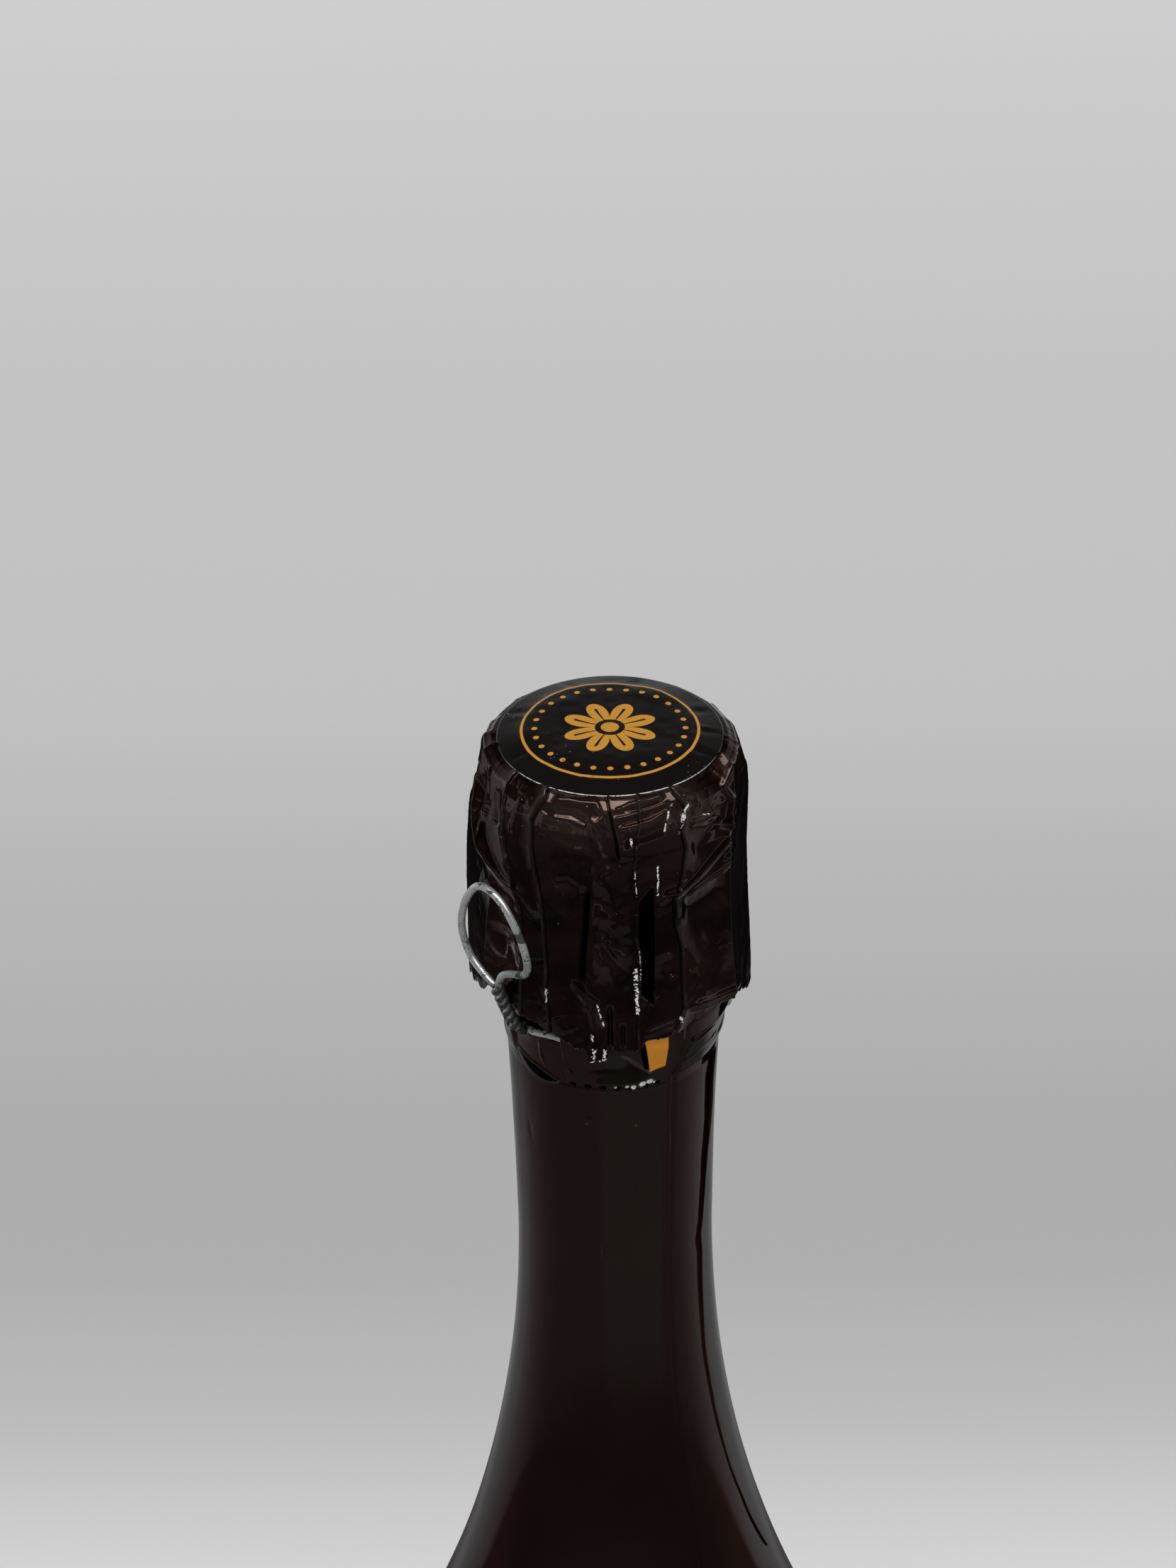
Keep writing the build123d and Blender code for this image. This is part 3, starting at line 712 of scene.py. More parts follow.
tail_low = polar(loop_azimuth, 17.7, twist_foot + 0.8)
tail_high = polar(loop_azimuth, 21.2, belt_height + 10.4)
tail_turns, loop_facing, loop_outward, eye_lift = 3, -45.0, (0.65, 0.76), 0.5
knee_radius, knee_rise, start_out, loop_wire = 17.2, 0.2, 1.0, belt_wire + 0.04
twist_dark_heights, painted_highlight_facing = (275, 276, 286.4, 288.0), (0.62, 0.92)
loop_line = [(-2.6, 0.5), (-5.2, 2.5), (-6.6, 6.2), (-5.9, 10.4), (-3.8, 14.0), (-1.5, 15.0), (1.5, 13.9),
             (4.7, 10.2), (6.25, 6.3), (5.6, 4.1), (2.9, 2.9), (1.1, 1.6)]
across = polar(loop_azimuth, 0, 0, 1)
sideways = polar(loop_facing, 0, 0, 1)
strands = []
for side, phase in ((-1, math.pi), (1, 0)):
    strands.append([polar(loop_azimuth, belt_radius + start_out, twist_foot, side * twist_reach),
                    polar(loop_azimuth, knee_radius, twist_foot + knee_rise, side * twist_reach)]
                   + list(strand(tail_low, tail_high, across, twist_reach, tail_turns, phase)))
eye = [tail_high + sideways * t + np.array((0, 0, up + eye_lift)) for t, up in loop_line]
path = smoothed(strands[0] + eye + strands[1][::-1], 6)
loop = wire("pull_loop", path, loop_wire, cage_steel, sides=20)
# Painted highlight: strand faces turned up and out get the lighter stripe.
outward = polar(loop_azimuth, *loop_outward)
facing = np.array([corner.normal.dot(outward) for corner in loop.data.vertices])
rise = np.array([corner.co.z for corner in loop.data.vertices]) / mm
set_marks(loop, {"twisted": within(rise, *twist_dark_heights), "crest": ease(facing, *painted_highlight_facing)})
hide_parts("wire_loop")
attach(loop, "loop")


# Neck foil: the long skirt of the capsule, laminate foil shrunk on to the neck with a lap seam down
# its front right, pricked along the tear strip's lower edge and flared out over the cage's foot. It
# is slit in a crescent on the left, and tucked in under the belt wire where the loop comes out.
def crumple(azimuth, height, size, stretch, seed):
    """Even noise of -1 to 1 round the bottle; its grains are a size wide and longer up the height."""
    columns = round(2 * math.pi * widest / size)
    rows = int(foil_rise / (size * stretch)) + 4
    lattice = np.random.default_rng(seed).uniform(-1, 1, (rows, columns))
    across = (azimuth + 180) / 360 * columns
    up = (height - noise_low) / (size * stretch) + wander * np.sin(across * 1.7 + seed)
    across = across + wander * np.sin(up * 2.1 + seed * 0.7)
    left = np.floor(across).astype(int)
    low = np.clip(np.floor(up).astype(int), 0, len(lattice) - 2)
    side, rise = across - left, np.clip(up - low, 0, 1)
    side, rise = side * side * (3 - 2 * side), rise * rise * (3 - 2 * rise)
    left, right = left % columns, (left + 1) % columns
    below = lattice[low, left] * (1 - side) + lattice[low, right] * side
    above = lattice[low + 1, left] * (1 - side) + lattice[low + 1, right] * side
    return below * (1 - rise) + above * rise


def line_field(azimuth, height, radius, points):
    """For every vertex: distance in mm from a line of (azimuth, height) points, side and share run."""
    best = np.full(azimuth.shape, 1e9)
    side = np.zeros(azimuth.shape)
    share = np.zeros(azimuth.shape)
    scale = math.radians(1) * radius
    count = len(points) - 1
    for order in range(count):
        (a0, z0), (a1, z1) = points[order], points[order + 1]
        x = periodic(azimuth - a0) * scale
        z = height - z0
        dx, dz = (a1 - a0) * scale, z1 - z0
        along = (x * dx + z * dz) / (dx * dx + dz * dz)
        held = np.clip(along, 0, 1)
        gap = np.hypot(x - held * dx, z - held * dz)
        nearer = gap < best
        best = np.where(nearer, gap, best)
        side = np.where(nearer, np.sign(x * dz - z * dx), side)
        share = np.where(nearer, (order + held) / count, share)
    return best, side, share


def beside(place, radius):
    """Distance in millimetres round the bottle from a place to every vertex, negative on its left."""
    return periodic(azimuth - place) * math.radians(1) * radius


def hill(value, centre, wide):
    """1 at a centre value, falling off smoothly to both sides over a width."""
    return np.exp(-((value - centre) / wide) ** 2)


widest, noise_low, foil_rise, wander = 19, 148, 180, 0.35
foil_columns, rows_low, rows_high, fine_from = 900, 90, 130, 262
foil_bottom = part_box("neck_foil")[0].z / mm
foil_top, flare_from, foil_skin = 283.0, 272.0, 0.30
pinch_height, prick_height, prick_radius = 268.7, 269.7, 15.2
foil_line = [(waist_height, 14.15), (250, 14.37), (260, 14.66), (267.5, 14.98), (pinch_height, 15.02)]
tucked_line = foil_line + [(271.4, 15.25), (274.4, 15.55), (276.6, 16.0), (277.6, 16.05)]
foil_line += [(270.4, 15.25), (274.8, 17.0), (278.2, 18.2), (280.5, 18.45), (foil_top, 18.5)]
tuck_from, tuck_to, tuck_soft, tuck_top = -62.0, -23.5, 2.5, 276.4
tuck_rise, tuck_rise_from, tuck_rise_to, cut_wave, cut_grain = 0.6, -46, -34, 0.3, 1.4
flat_deep, flat_rise, flat_wide, flats = 1.15, 4, 26, ((-84, 270.5), (86, 271.5))
seam_azimuth, seam_radius, seam_step, seam_slope, seam_gap, seam_gap_place = 34.5, 15, 0.13, 1.6, 0.12, -0.25

rows_z = np.concatenate([np.linspace(foil_bottom, fine_from, rows_low, endpoint=False),
                         np.linspace(fine_from, foil_top, rows_high)])
azimuth, height = np.meshgrid(np.arange(foil_columns) * 360 / foil_columns - 180, rows_z)
tuck = within(azimuth, tuck_from - tuck_soft, tuck_from + tuck_soft, tuck_to - tuck_soft, tuck_to)
tuck_cut = tuck_top + tuck_rise * ease(azimuth, tuck_rise_from, tuck_rise_to)
top_cut = foil_top - (foil_top - tuck_cut) * tuck
top_cut = top_cut - cut_wave * crumple(azimuth, height * 0 + 280, cut_grain, 1.0, 4)
above = np.clip((height - flare_from) / (foil_top - flare_from), 0, 1)
height = np.where(height > flare_from, flare_from + above * (top_cut - flare_from), height)

drop = np.clip(waist_height - height, 0, None)
skirt = waist_radius + foil_skin + neck_sweep - np.sqrt(neck_sweep ** 2 - drop ** 2)
flared = np.interp(height, *zip(*foil_line)) * (1 - tuck) + np.interp(height, *zip(*tucked_line)) * tuck
for flat_azimuth, low in flats:
    flat = flat_deep * ease(height, low, low + flat_rise)
    flared -= flat * hill(periodic(azimuth - flat_azimuth), 0, flat_wide) * (1 - tuck)
radius = np.where(height < waist_height, skirt, flared)

beyond = beside(seam_azimuth, seam_radius)
radius += seam_step * np.where(beyond > 0, np.exp(-beyond / seam_slope), 0)
radius -= seam_gap * hill(beyond, seam_gap_place, 0.22) * (0.25 + 0.75 * ease(height, 252, 262))
radius += 0.05 * crumple(azimuth, height, 9.0, 2.5, 1)
radius += 0.02 * crumple(azimuth, height, 2.8, 2.5, 2) * ease(height, 245, 268)

# Pricks through the foil, torn rims where the strip was started, and the scored line they stand on.
prick_squash, prick_edge, prick_deep, rim_lift = 0.85, (0.34, 0.46), 0.35, 0.12
score_deep, score_wide = 0.10, 0.3
holes = np.zeros(azimuth.shape)
rims = np.zeros(azimuth.shape)
for place in (-22.1, -13.9, -5.7, 2.3, 8.9, 17.3, 23.6):
    away = np.hypot(beside(place, prick_radius) * prick_squash, height - prick_height)
    holes = np.maximum(holes, 1 - ease(away, *prick_edge))
for place, rise, size in ((1.0, 0.25, 0.22), (7.2, 0.30, 0.30), (10.4, 0.10, 0.42), (15.4, 0.45, 0.54),
                          (19.2, 0.80, 0.50), (21.6, 0.45, 0.22)):
    away = np.hypot(beside(place, prick_radius), height - prick_height - rise)
    rims = np.maximum(rims, 1 - ease(away, size * 0.7, size * 1.3))
holes *= 1 - rims
score_line = [(-30, 269.5), (-10, 269.7), (10, 269.7), (28, 269.6)]
score, side, share = line_field(azimuth, height, prick_radius, score_line)
radius -= score_deep * hill(score, 0, score_wide)
radius -= prick_deep * holes
radius += rim_lift * rims

# The slit on the left gapes in the middle, and its upper lip curls out. Its inside is painted near black as
# shade.
slit_line = [(-58.5, 271.5), (-54.0, 270.6), (-49.4, 270.0), (-44.0, 269.6), (-38.0, 269.4), (-31.4, 269.4)]
slit_radius, slit_least, slit_gape, slit_skew, slit_deep, lip_lift = 15.4, 0.10, 0.74, 1.2, 0.50, 0.14
slit, side, share = line_field(azimuth, height, slit_radius, slit_line)
slit_width = slit_least + slit_gape * np.sin(np.clip(share, 0, 1) ** slit_skew * math.pi)
slit_shade = 1 - ease(slit, slit_width * 0.9, slit_width * 1.1)
lip = hill(slit - slit_width, 0.10, 0.12)
radius -= slit_deep * (1 - ease(slit, slit_width * 0.5, slit_width * 0.9))
radius += lip_lift * hill(slit - slit_width, 0.25, 0.30)

# A flap of the strip is torn free beside the tab, with a hollow behind it painted black as shade, and creases
# run round.
torn_line = [(1.5, 277.8), (6.9, 276.6), (13.0, 274.4), (20.8, 271.9)]
torn_radius, torn_lift, torn_slope = 16.6, 0.35, 2.2
torn, side, share = line_field(azimuth, height, torn_radius, torn_line)
over = ease(torn * side, -0.10, 0.10) * np.exp(-torn / torn_slope)
over *= np.sin(np.clip(share, 0.02, 0.98) * math.pi) ** 0.5
radius += torn_lift * over
torn_edge = hill(torn, 0, 0.16) * within(share, 0.02, 0.2, 0.85, 0.98)
hollow_line = [(13.0, 278.6), (14.6, 276.2), (16.4, 273.9)]
hollow_shade, side, share = line_field(azimuth, height, torn_radius, hollow_line)
hollow_shade = 1 - ease(hollow_shade, 0.30, 0.55)
for size, wide, points in (
        (0.22, 0.25, [(-40.5, 276.2), (-41, 273.4), (-38.5, 271.2)]),
        (0.25, 0.5, [(-22, 277.6), (-24, 274.6), (-21, 272.2)]),
        (0.1, 0.6, [(-12, 273.6), (-4, 274.6), (3, 274.2)]),
        (0.12, 0.35, [(36, 272.6), (52, 273.6), (64, 274.2)]),
        (0.08, 0.5, [(33, 275.6), (48, 276.8), (60, 277.2)]),
        (0.08, 0.6, [(74, 273.4), (84, 274.4), (96, 274.4)]),
        (-0.14, 0.5, [(-56.5, 259.0), (-52.0, 256.4)]),
        (-0.14, 0.45, [(9.2, 251.6), (12.6, 252.6)]),
        (0.06, 0.3, [(-14.4, 264.2), (-12.6, 263.6)])):
    away, side, share = line_field(azimuth, height, 15.5, points)
    radius += size * hill(away, 0, wide) * np.sin(np.clip(share, 0.04, 0.96) * math.pi)
nicks = np.zeros(azimuth.shape)
for place, rise in ((0.4, 222.6), (-15.0, 263.0), (-33.0, 199.0), (-32.4, 198.0), (-8.0, 240.2),
                    (22.0, 232.0), (12.0, 262.8)):
    nicks = np.maximum(nicks, 1 - ease(np.hypot(beside(place, radius), height - rise), 0.10, 0.28))

neck_lacquer, start, shader = start_finish("neck_lacquer")
hole_shade_mark, rim_mark, slit_shade_mark = marked(start, "holes"), marked(start, "rims"), marked(start, "slit")
cloud = grain(start, 12 * mm, detail=3.0)
fleck = grain(start, 0.12 * mm, detail=1.0)
tint = between(cloud * 0.5 + marked(start, "tint"), 0.35, 1.15)
colour = mixed(tint, (0.074, 0.034, 0.034, 1), (0.078, 0.056, 0.040, 1))
# Painted shade: inside the slit is painted near black.
colour = mixed(slit_shade_mark, colour, (0.002, 0.002, 0.004, 1))
colour = mixed(marked(start, "light"), colour, (0.36, 0.35, 0.35, 1))
colour = mixed(rim_mark * between(fleck, 0.40, 0.52), colour, (0.80, 0.80, 0.78, 1))
apply_finish(start, shader, {
    # Painted shade: the pricks and the hollow behind the torn flap are painted near black.
    "Base Color": mixed(hole_shade_mark, colour, (0.002, 0.002, 0.002, 1)),
    "Metallic": 1 - rim_mark,
    "Specular Tint": (0.25, 0.25, 0.25, 1),
    "Roughness": 0.26 + 0.08 * cloud,
    "Coat Weight": 0.5 - 0.5 * largest(hole_shade_mark, slit_shade_mark),
    "Coat Roughness": 0.04,
    "Normal": bumped(start, cloud * 3 + fleck * 0.06, 0.05 * mm),
})
neck_foil = add_piece("foil_skirt", swung(np.radians(azimuth), radius, height),
                      grid_faces(len(rows_z), foil_columns), neck_lacquer)
olive_sides, olive_heights, olive_least = (-16, 2, 24, 34), (196, 236), 0.15
grey_sides, grey_share = (34, 38, 58, 80), 0.45
olive = within(azimuth, *olive_sides) * (olive_least + (1 - olive_least) * ease(height, *olive_heights))
grey = grey_share * within(azimuth, *grey_sides)
light = np.maximum(np.maximum(0.9 * torn_edge, 0.6 * lip * (1 - slit_shade)), 0.5 * nicks)
set_marks(neck_foil, {"holes": np.maximum(holes, hollow_shade), "rims": rims, "slit": slit_shade,
                      "tint": np.maximum(olive, grey), "light": np.clip(light, 0, 1)})
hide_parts("neck_foil")
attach(neck_foil, "bottle")


# Tear tab: the free end of the tear strip, a stiff orange film tucked up under the hood and left to
# stand off the flare a little. It narrows downwards, and it was cut off askew.
def thicken(piece, thickness, side):
    """Gives a sheet a thickness in millimetres, outwards where side is 1 and inwards where it is -1."""
    sheet = piece.modifiers.new("foil", "SOLIDIFY")
    sheet.thickness = thickness * mm
    sheet.offset = side


tab_azimuth, tab_half, tab_narrow, tab_reach = 21.3, 1.75, 0.33, 18.0
tab_top, tab_low, tab_skew, tab_shift, tab_slant = 281.4, 273.7, 0.35, 1.0, 0.88
tab_stand, tab_curl, tab_cup = 0.32, 0.10, 0.08
tab_rows, tab_columns, tab_film = 24, 12, 0.1
across, down = np.meshgrid(np.linspace(-1, 1, tab_columns), np.linspace(0, 1, tab_rows))
tab_z = tab_top + (tab_low - tab_top) * down + tab_skew * across * down
tab_r = np.interp(tab_z, *zip(*foil_line)) + tab_stand + tab_curl * down ** 2 + tab_cup * across ** 2
side_mm = across * tab_half * (1 - tab_narrow * down) - tab_shift + tab_slant * down
tab_finish, start, shader = start_finish("tab_film")
mottle = grain(start, 0.8 * mm, detail=3.0)
apply_finish(start, shader, {
    "Base Color": mixed(mottle, (0.46, 0.165, 0.006, 1), (0.54, 0.215, 0.010, 1)),
    "Roughness": 0.42,
    "Specular IOR Level": 0.25,
    "Normal": bumped(start, mottle, 0.02 * mm),
})
tab = add_piece("tear_strip_tab", swung(np.radians(tab_azimuth) + side_mm / tab_reach, tab_r, tab_z),
                grid_faces(tab_rows, tab_columns, closed_columns=False), tab_finish)
thicken(tab, tab_film, 1)
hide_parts("tear_tab")
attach(tab, "bottle")


# Foil hood: the upper capsule, pressed down over cork and cage by hand, so that it is pleated at
# the shoulder and creased down its sides, and torn off ragged at the strip. Maroon lacquer on foil.
hood_columns, hood_rows, hood_reach, hood_sheet = 1200, 320, 19.2, 0.12
hood_line = [(13.2, 318.3), (15.4, 318.32), (16.15, 318.02), (17.05, 317.2), (17.75, 315.9), (18.35, 313.8),
             (18.8, 310.8), (19.05, 306.5), (19.25, 300.0), (19.35, 292.0), (19.4, 276.0)]
hem_line = [(-180, 279.6), (-168, 279.0), (-150, 280.4), (-131, 278.6), (-112, 279.6), (-98, 278.2),
            (-88, 278.7), (-80, 279.8), (-67.4, 281.7), (-60, 283.8), (-55.6, 285.2), (-50, 284.4),
            (-43, 282.1), (-36, 282.0), (-29.6, 281.7), (-22.6, 280.5), (-16, 279.3), (-10.8, 279.3),
            (-10.0, 277.1), (-6.4, 277.4), (-5.6, 276.7), (-2.6, 277.6), (-1, 279.1), (4, 279.2),
            (10, 279.0), (12, 280.0), (23, 280.8), (30, 281.2), (37, 281.8), (60, 281.8), (72, 280.2),
            (80, 278.4), (90, 277.2), (104, 278.0), (118, 279.6), (136, 278.8), (152, 280.2), (166, 279.0),
            (180, 279.6)]
hem_tears = ((2.2, 0.40, 5), (0.8, 0.30, 6), (0.35, 0.14, 7))
shoulder_end, top_share, top_lean, lean_heights = 6, 0.34, math.radians(70), (309, 318.2)

azimuth, share = np.meshgrid(np.arange(hood_columns) * 360 / hood_columns - 180, np.linspace(0, 1, hood_rows))
hem = np.interp(azimuth[0], *zip(*hem_line))
for size, depth, seed in hem_tears:
    hem = hem + depth * crumple(azimuth[0], 280.0, size, 1.0, seed)
line_r, line_z = np.array(hood_line).T
run = np.concatenate([[0], np.cumsum(np.hypot(np.diff(line_r), np.diff(line_z)))])
on_top = share < top_share
distance = np.where(on_top, share / top_share * run[shoulder_end], 0)
down = np.clip((share - top_share) / (1 - top_share), 0, 1)
side_top = line_z[shoulder_end]
height = np.where(on_top, np.interp(distance, run, line_z), side_top + (hem - side_top) * down)
radius = np.where(on_top, np.interp(distance, run, line_r),
                  np.interp(-height, -line_z[shoulder_end:], line_r[shoulder_end:]))
lean = np.where(on_top, ease(height, *lean_heights), 0) * top_lean
outside = radius.mean(axis=1, keepdims=True) * math.radians(1)

push = np.zeros(azimuth.shape)
crease = np.zeros(azimuth.shape)
rubbed = np.zeros(azimuth.shape)


def azimuth_of(points):
    """Azimuth of a fold line at the height of every vertex."""
    places = sorted(points, key=lambda point: point[1])
    return np.interp(height, [point[1] for point in places], [point[0] for point in places])


def held_between(low, high, soft=1.2):
    """1 between two heights, fading in and out."""
    return within(height, low, low + soft, high - soft * 0.3, high)


def fold(points, size, wide, facing, gap_shade, edge_highlight):
    """Lapped fold: the foil rises to a line and drops off its edge, where a thin gap is painted shade."""
    beyond = periodic(azimuth - azimuth_of(points)) * outside * facing
    held = held_between(points[-1][1] - 1, points[0][1] + 1)
    lap = np.where(beyond < 0, np.exp(np.minimum(beyond, 0) / wide), 1 - ease(beyond, *lap_edge))
    gap = hill(beyond, gap_place, gap_wide)
    push[:] += (size * lap - gap_deep * size * gap) * held
    # Painted shade: the thin gap under the lap is painted near black.
    crease[:] = np.maximum(crease, gap_shade * gap * held)
    # Painted highlight: a lighter grey along each fold's edge, broken up by noise.
    wear_and_highlight_breakup = 0.5 + 0.5 * crumple(azimuth, height, 0.8, 4.0, 31)
    rubbed[:] = np.maximum(rubbed, edge_highlight * hill(beyond, lap_edge[0], edge_highlight_wide) * held * wear_and_highlight_breakup)


def ridge(points, size, wide, fade=0.2):
    """Soft ridge, or a valley where its size is negative."""
    away, side, run_share = line_field(azimuth, height, hood_reach, points)
    push[:] += size * hill(away, 0, wide) * within(run_share, 0, fade, 1 - fade, 1)


# Fold lines seen from the front, from the seam down, and then made-up ones round the back. The foil
# is drawn nearly flat from one to the next.
lap_edge, gap_place, gap_wide, gap_deep, edge_highlight_wide = (0.02, 0.20), 0.28, 0.12, 0.5, 0.09
line_side = [(-97, 318.4), (-95, 313), (-96, 306), (-94, 299), (-96, 290), (-95, 278)]
line_left = [(-83, 318.4), (-81.6, 311.1), (-66.6, 307.1), (-58.6, 304.3), (-57.6, 299.1), (-61.2, 290.1),
             (-62.4, 284.0)]
line_loop = [(-53.9, 318.4), (-51.8, 313.0), (-46.0, 305.8), (-42.4, 302.7), (-40.0, 299.3), (-39.0, 295.4),
             (-41.0, 283.0)]
line_a = [(-32.7, 318.5), (-31.4, 317.5), (-33.9, 316.1), (-35.7, 314.5), (-34.9, 310.6), (-33.3, 307.2),
          (-30.3, 303.2), (-28.8, 298.7), (-27.7, 292.0), (-28.3, 289.0), (-26.7, 281.0)]
line_b = [(-2.1, 318.6), (-0.5, 318.0), (1.2, 315.9), (2.8, 313.1), (3.6, 311.0)]
line_recess = [(-7.9, 307.0), (-8.4, 303.4), (-8.9, 300.1), (-10.3, 295.0), (-11.3, 288.5)]
line_d = [(13.0, 317.6), (12.3, 315.1), (10.4, 311.4), (9.4, 308.9), (10.5, 304.6), (9.8, 298.0),
          (11.5, 294.8), (11.0, 289.7), (10.4, 282.8), (10.8, 279.0)]
line_c = [(30.1, 318.5), (34.2, 316.3), (33.1, 315.1), (31.0, 312.9), (32.4, 310.3), (30.0, 305.7),
          (26.4, 303.1), (26.6, 298.7), (29.5, 295.0), (30.0, 289.7), (30.8, 284.5), (28.3, 282.3),
          (25.9, 280.6)]
line_right = [(71.0, 318.4), (64.0, 314.1), (62.3, 311.5), (55.3, 309.2), (56.0, 304.4), (55.9, 294.2),
              (59.2, 284.9), (58.4, 281.0)]
line_edge = [(88, 318.4), (90, 313), (88, 306), (89, 299), (87, 290), (89, 278)]
luck = random.Random(7)
hidden_lines = []
place = 108.0
while place < 252.0:
    lean_by = luck.uniform(-5, 5)
    points = [(place, 318.4), (place + lean_by * 0.5, 314.0)]
    for z in (308, 301, 294, 287, 279):
        points.append((place + lean_by + luck.uniform(-2.0, 2.0), z))
    hidden_lines.append(points)
    place += luck.uniform(15, 25)
panel_flat, panel_lift = 0.85, 0.16
panel_lines = [line_side, line_left, line_loop, line_a, line_recess, line_d, line_c, line_right, line_edge]
borders = [azimuth_of(points) for points in panel_lines + hidden_lines]
borders.append(borders[0] + 360)
for start_border, end_border in zip(borders, borders[1:]):
    wide = end_border - start_border
    across = (azimuth - start_border) % 360 / wide
    flat = np.where(across < 1, 1 - (2 * across - 1) ** 2, 0)
    push -= panel_flat * flat * hood_reach * np.radians(wide) ** 2 / 8
push += panel_lift

for points, size, wide, facing, gap_shade, edge_highlight in (
        (line_side, 0.20, 1.5, -1, 0.3, 0.1), (line_left, 0.36, 1.4, -1, 0.4, 0.45),
        (line_loop, 0.30, 1.6, 1, 0.5, 0.3), (line_a, 0.30, 1.3, 1, 0.7, 0.5),
        (line_a[:4], 0.36, 1.6, 1, 1.0, 0.0), (line_b, 0.46, 1.5, -1, 1.0, 0.2),
        (line_c, 0.38, 1.6, -1, 1.0, 0.55), (line_d, 0.16, 0.9, -1, 0.5, 0.35),
        (line_right, 0.40, 1.3, 1, 0.3, 0.6), (line_edge, 0.18, 1.6, 1, 0.3, 0.1)):
    fold(points, size, wide, facing, gap_shade, edge_highlight)
for points in hidden_lines:
    fold(points, luck.uniform(0.15, 0.42), luck.uniform(0.9, 2.0), luck.choice((-1, 1)),
         luck.uniform(0.4, 1.0), luck.uniform(0.1, 0.6))
    if luck.random() < 0.8:
        middle, z = points[3][0], luck.uniform(301, 308)
        ridge([(middle - luck.uniform(8, 16), z + 1.5), (middle, z), (middle + 14, z - luck.uniform(0, 2))],
              luck.choice((-0.4, 0.4)), luck.uniform(0.7, 1.6))

# Ridges, and valleys where the first number is negative, each with its width and its line: those of
# the shoulders and sides, then the ribs under the seam, then those of the middle and the hem.
side_ridges = (
    (0.45, 0.8, [(-92, 309.6), (-82, 308.5), (-70.8, 306.9), (-60.3, 305.4), (-50.8, 303.3), (-44, 302.9),
        (-36, 302.0)]),
    (-0.25, 2.4, [(-95, 305.0), (-80, 303.5), (-62, 300.5), (-45, 298.8)]),
    (0.5, 0.55, [(-73.5, 317.2), (-70.1, 315.9), (-67.9, 312.4), (-67.7, 309.1), (-60.3, 305.1)]),
    (0.5, 0.6, [(-88, 316.2), (-85.3, 314.4), (-75.5, 309.3), (-65.1, 306.9), (-56.3, 305.0)]),
    (-0.4, 0.9, [(-79, 315.4), (-76, 312.0), (-72, 309.6)]),
    (0.34, 0.55, [(-43.0, 316.8), (-43.4, 315.6), (-44.3, 313.2), (-46.0, 310.9)]),
    (0.3, 0.45, [(-51, 311.0), (-49.9, 309.9), (-48.0, 308.1), (-46.1, 306.1)]),
    (-0.45, 1.1, [(-62, 316.5), (-58, 313.0), (-56, 310.0)]),
    (0.25, 0.6, [(-47, 317.6), (-42, 317.2), (-36, 316.2)]),
    (-0.35, 1.8, [(-50, 296), (-50, 290), (-51, 286)]),
    (0.12, 1.8, [(-74, 299), (-75, 292), (-76, 284)]),
    (0.5, 0.55, [(19.0, 302.2), (23.2, 304.0), (29.8, 304.2), (38.2, 305.2), (46.5, 306.6), (53.5, 308.0),
        (60, 309.6)]),
    (0.26, 0.45, [(30.8, 302.6), (40.3, 303.3), (51.5, 303.8), (60, 305.6)]),
    (0.16, 1.4, [(20.5, 302.4), (19.5, 298.0), (22.0, 293.0)]),
    (-0.45, 2.2, [(28.0, 300.2), (42.0, 300.4), (56.0, 301.4)]),
    (0.22, 0.6, [(34.2, 313.8), (43.2, 313.1), (54.1, 312.8)]),
    (-0.3, 1.6, [(34.0, 309.5), (44.0, 310.4), (54.0, 312.0)]),
    (0.5, 0.6, [(74, 317.0), (66, 316.4), (59.2, 315.7), (61.3, 313.2), (57.6, 310.6), (61.6, 307.0)]),
    (0.3, 0.45, [(61.6, 307.0), (57.8, 306.1), (51.5, 305.5)]),
    (-0.45, 1.2, [(84, 316.0), (74, 312.0), (68, 308.0)]),
    (0.06, 1.8, [(72, 303), (74, 295), (72, 284)]),
    (0.42, 0.8, [(30, 284.8), (45, 283.6), (60, 283.0), (70, 282.0)]),
    (0.2, 0.6, [(12.0, 281.6), (20, 282.2), (28, 282.6)]))
seam_ridges = (
    (0.42, 0.34, [(-29.4, 317.5), (-19.8, 317.8), (-6.4, 317.6), (-3.3, 316.4), (-5.9, 315.4),
        (-1.5, 314.0)]),
    (-0.4, 0.6, [(-27.0, 316.4), (-18, 316.6), (-9, 315.6)]),
    (0.28, 0.6, [(-29.5, 316.0), (-30.5, 314.4), (-30.0, 312.6)]),
    (0.3, 0.6, [(-8.4, 316.4), (-7.0, 313.6), (-3.6, 310.6), (-1.4, 308.2)]),
    (0.1, 0.8, [(-26.0, 312.2), (-15, 311.4), (-6, 311.6)]),
    (0.42, 0.24, [(1.2, 316.9), (8.6, 317.5), (27.3, 317.9)]),
    (0.46, 0.26, [(0.6, 315.9), (12.0, 316.5), (28.5, 317.2)]),
    (0.5, 0.3, [(2.2, 314.7), (9.0, 314.9), (17.0, 315.3), (26.0, 316.4)]),
    (-0.34, 0.2, [(4.0, 317.2), (14, 317.1), (26, 317.5)]),
    (-0.34, 0.2, [(4.0, 315.3), (14, 315.9), (26, 316.7)]),
    (-0.36, 0.8, [(4.5, 313.4), (14, 313.7), (24, 314.4)]),
    (0.3, 0.35, [(33.5, 317.4), (41, 316.8), (41.5, 315.4), (36, 315.0)]),
    (0.3, 0.4, [(27.5, 316.9), (29.8, 315.2), (31.0, 313.4)]))
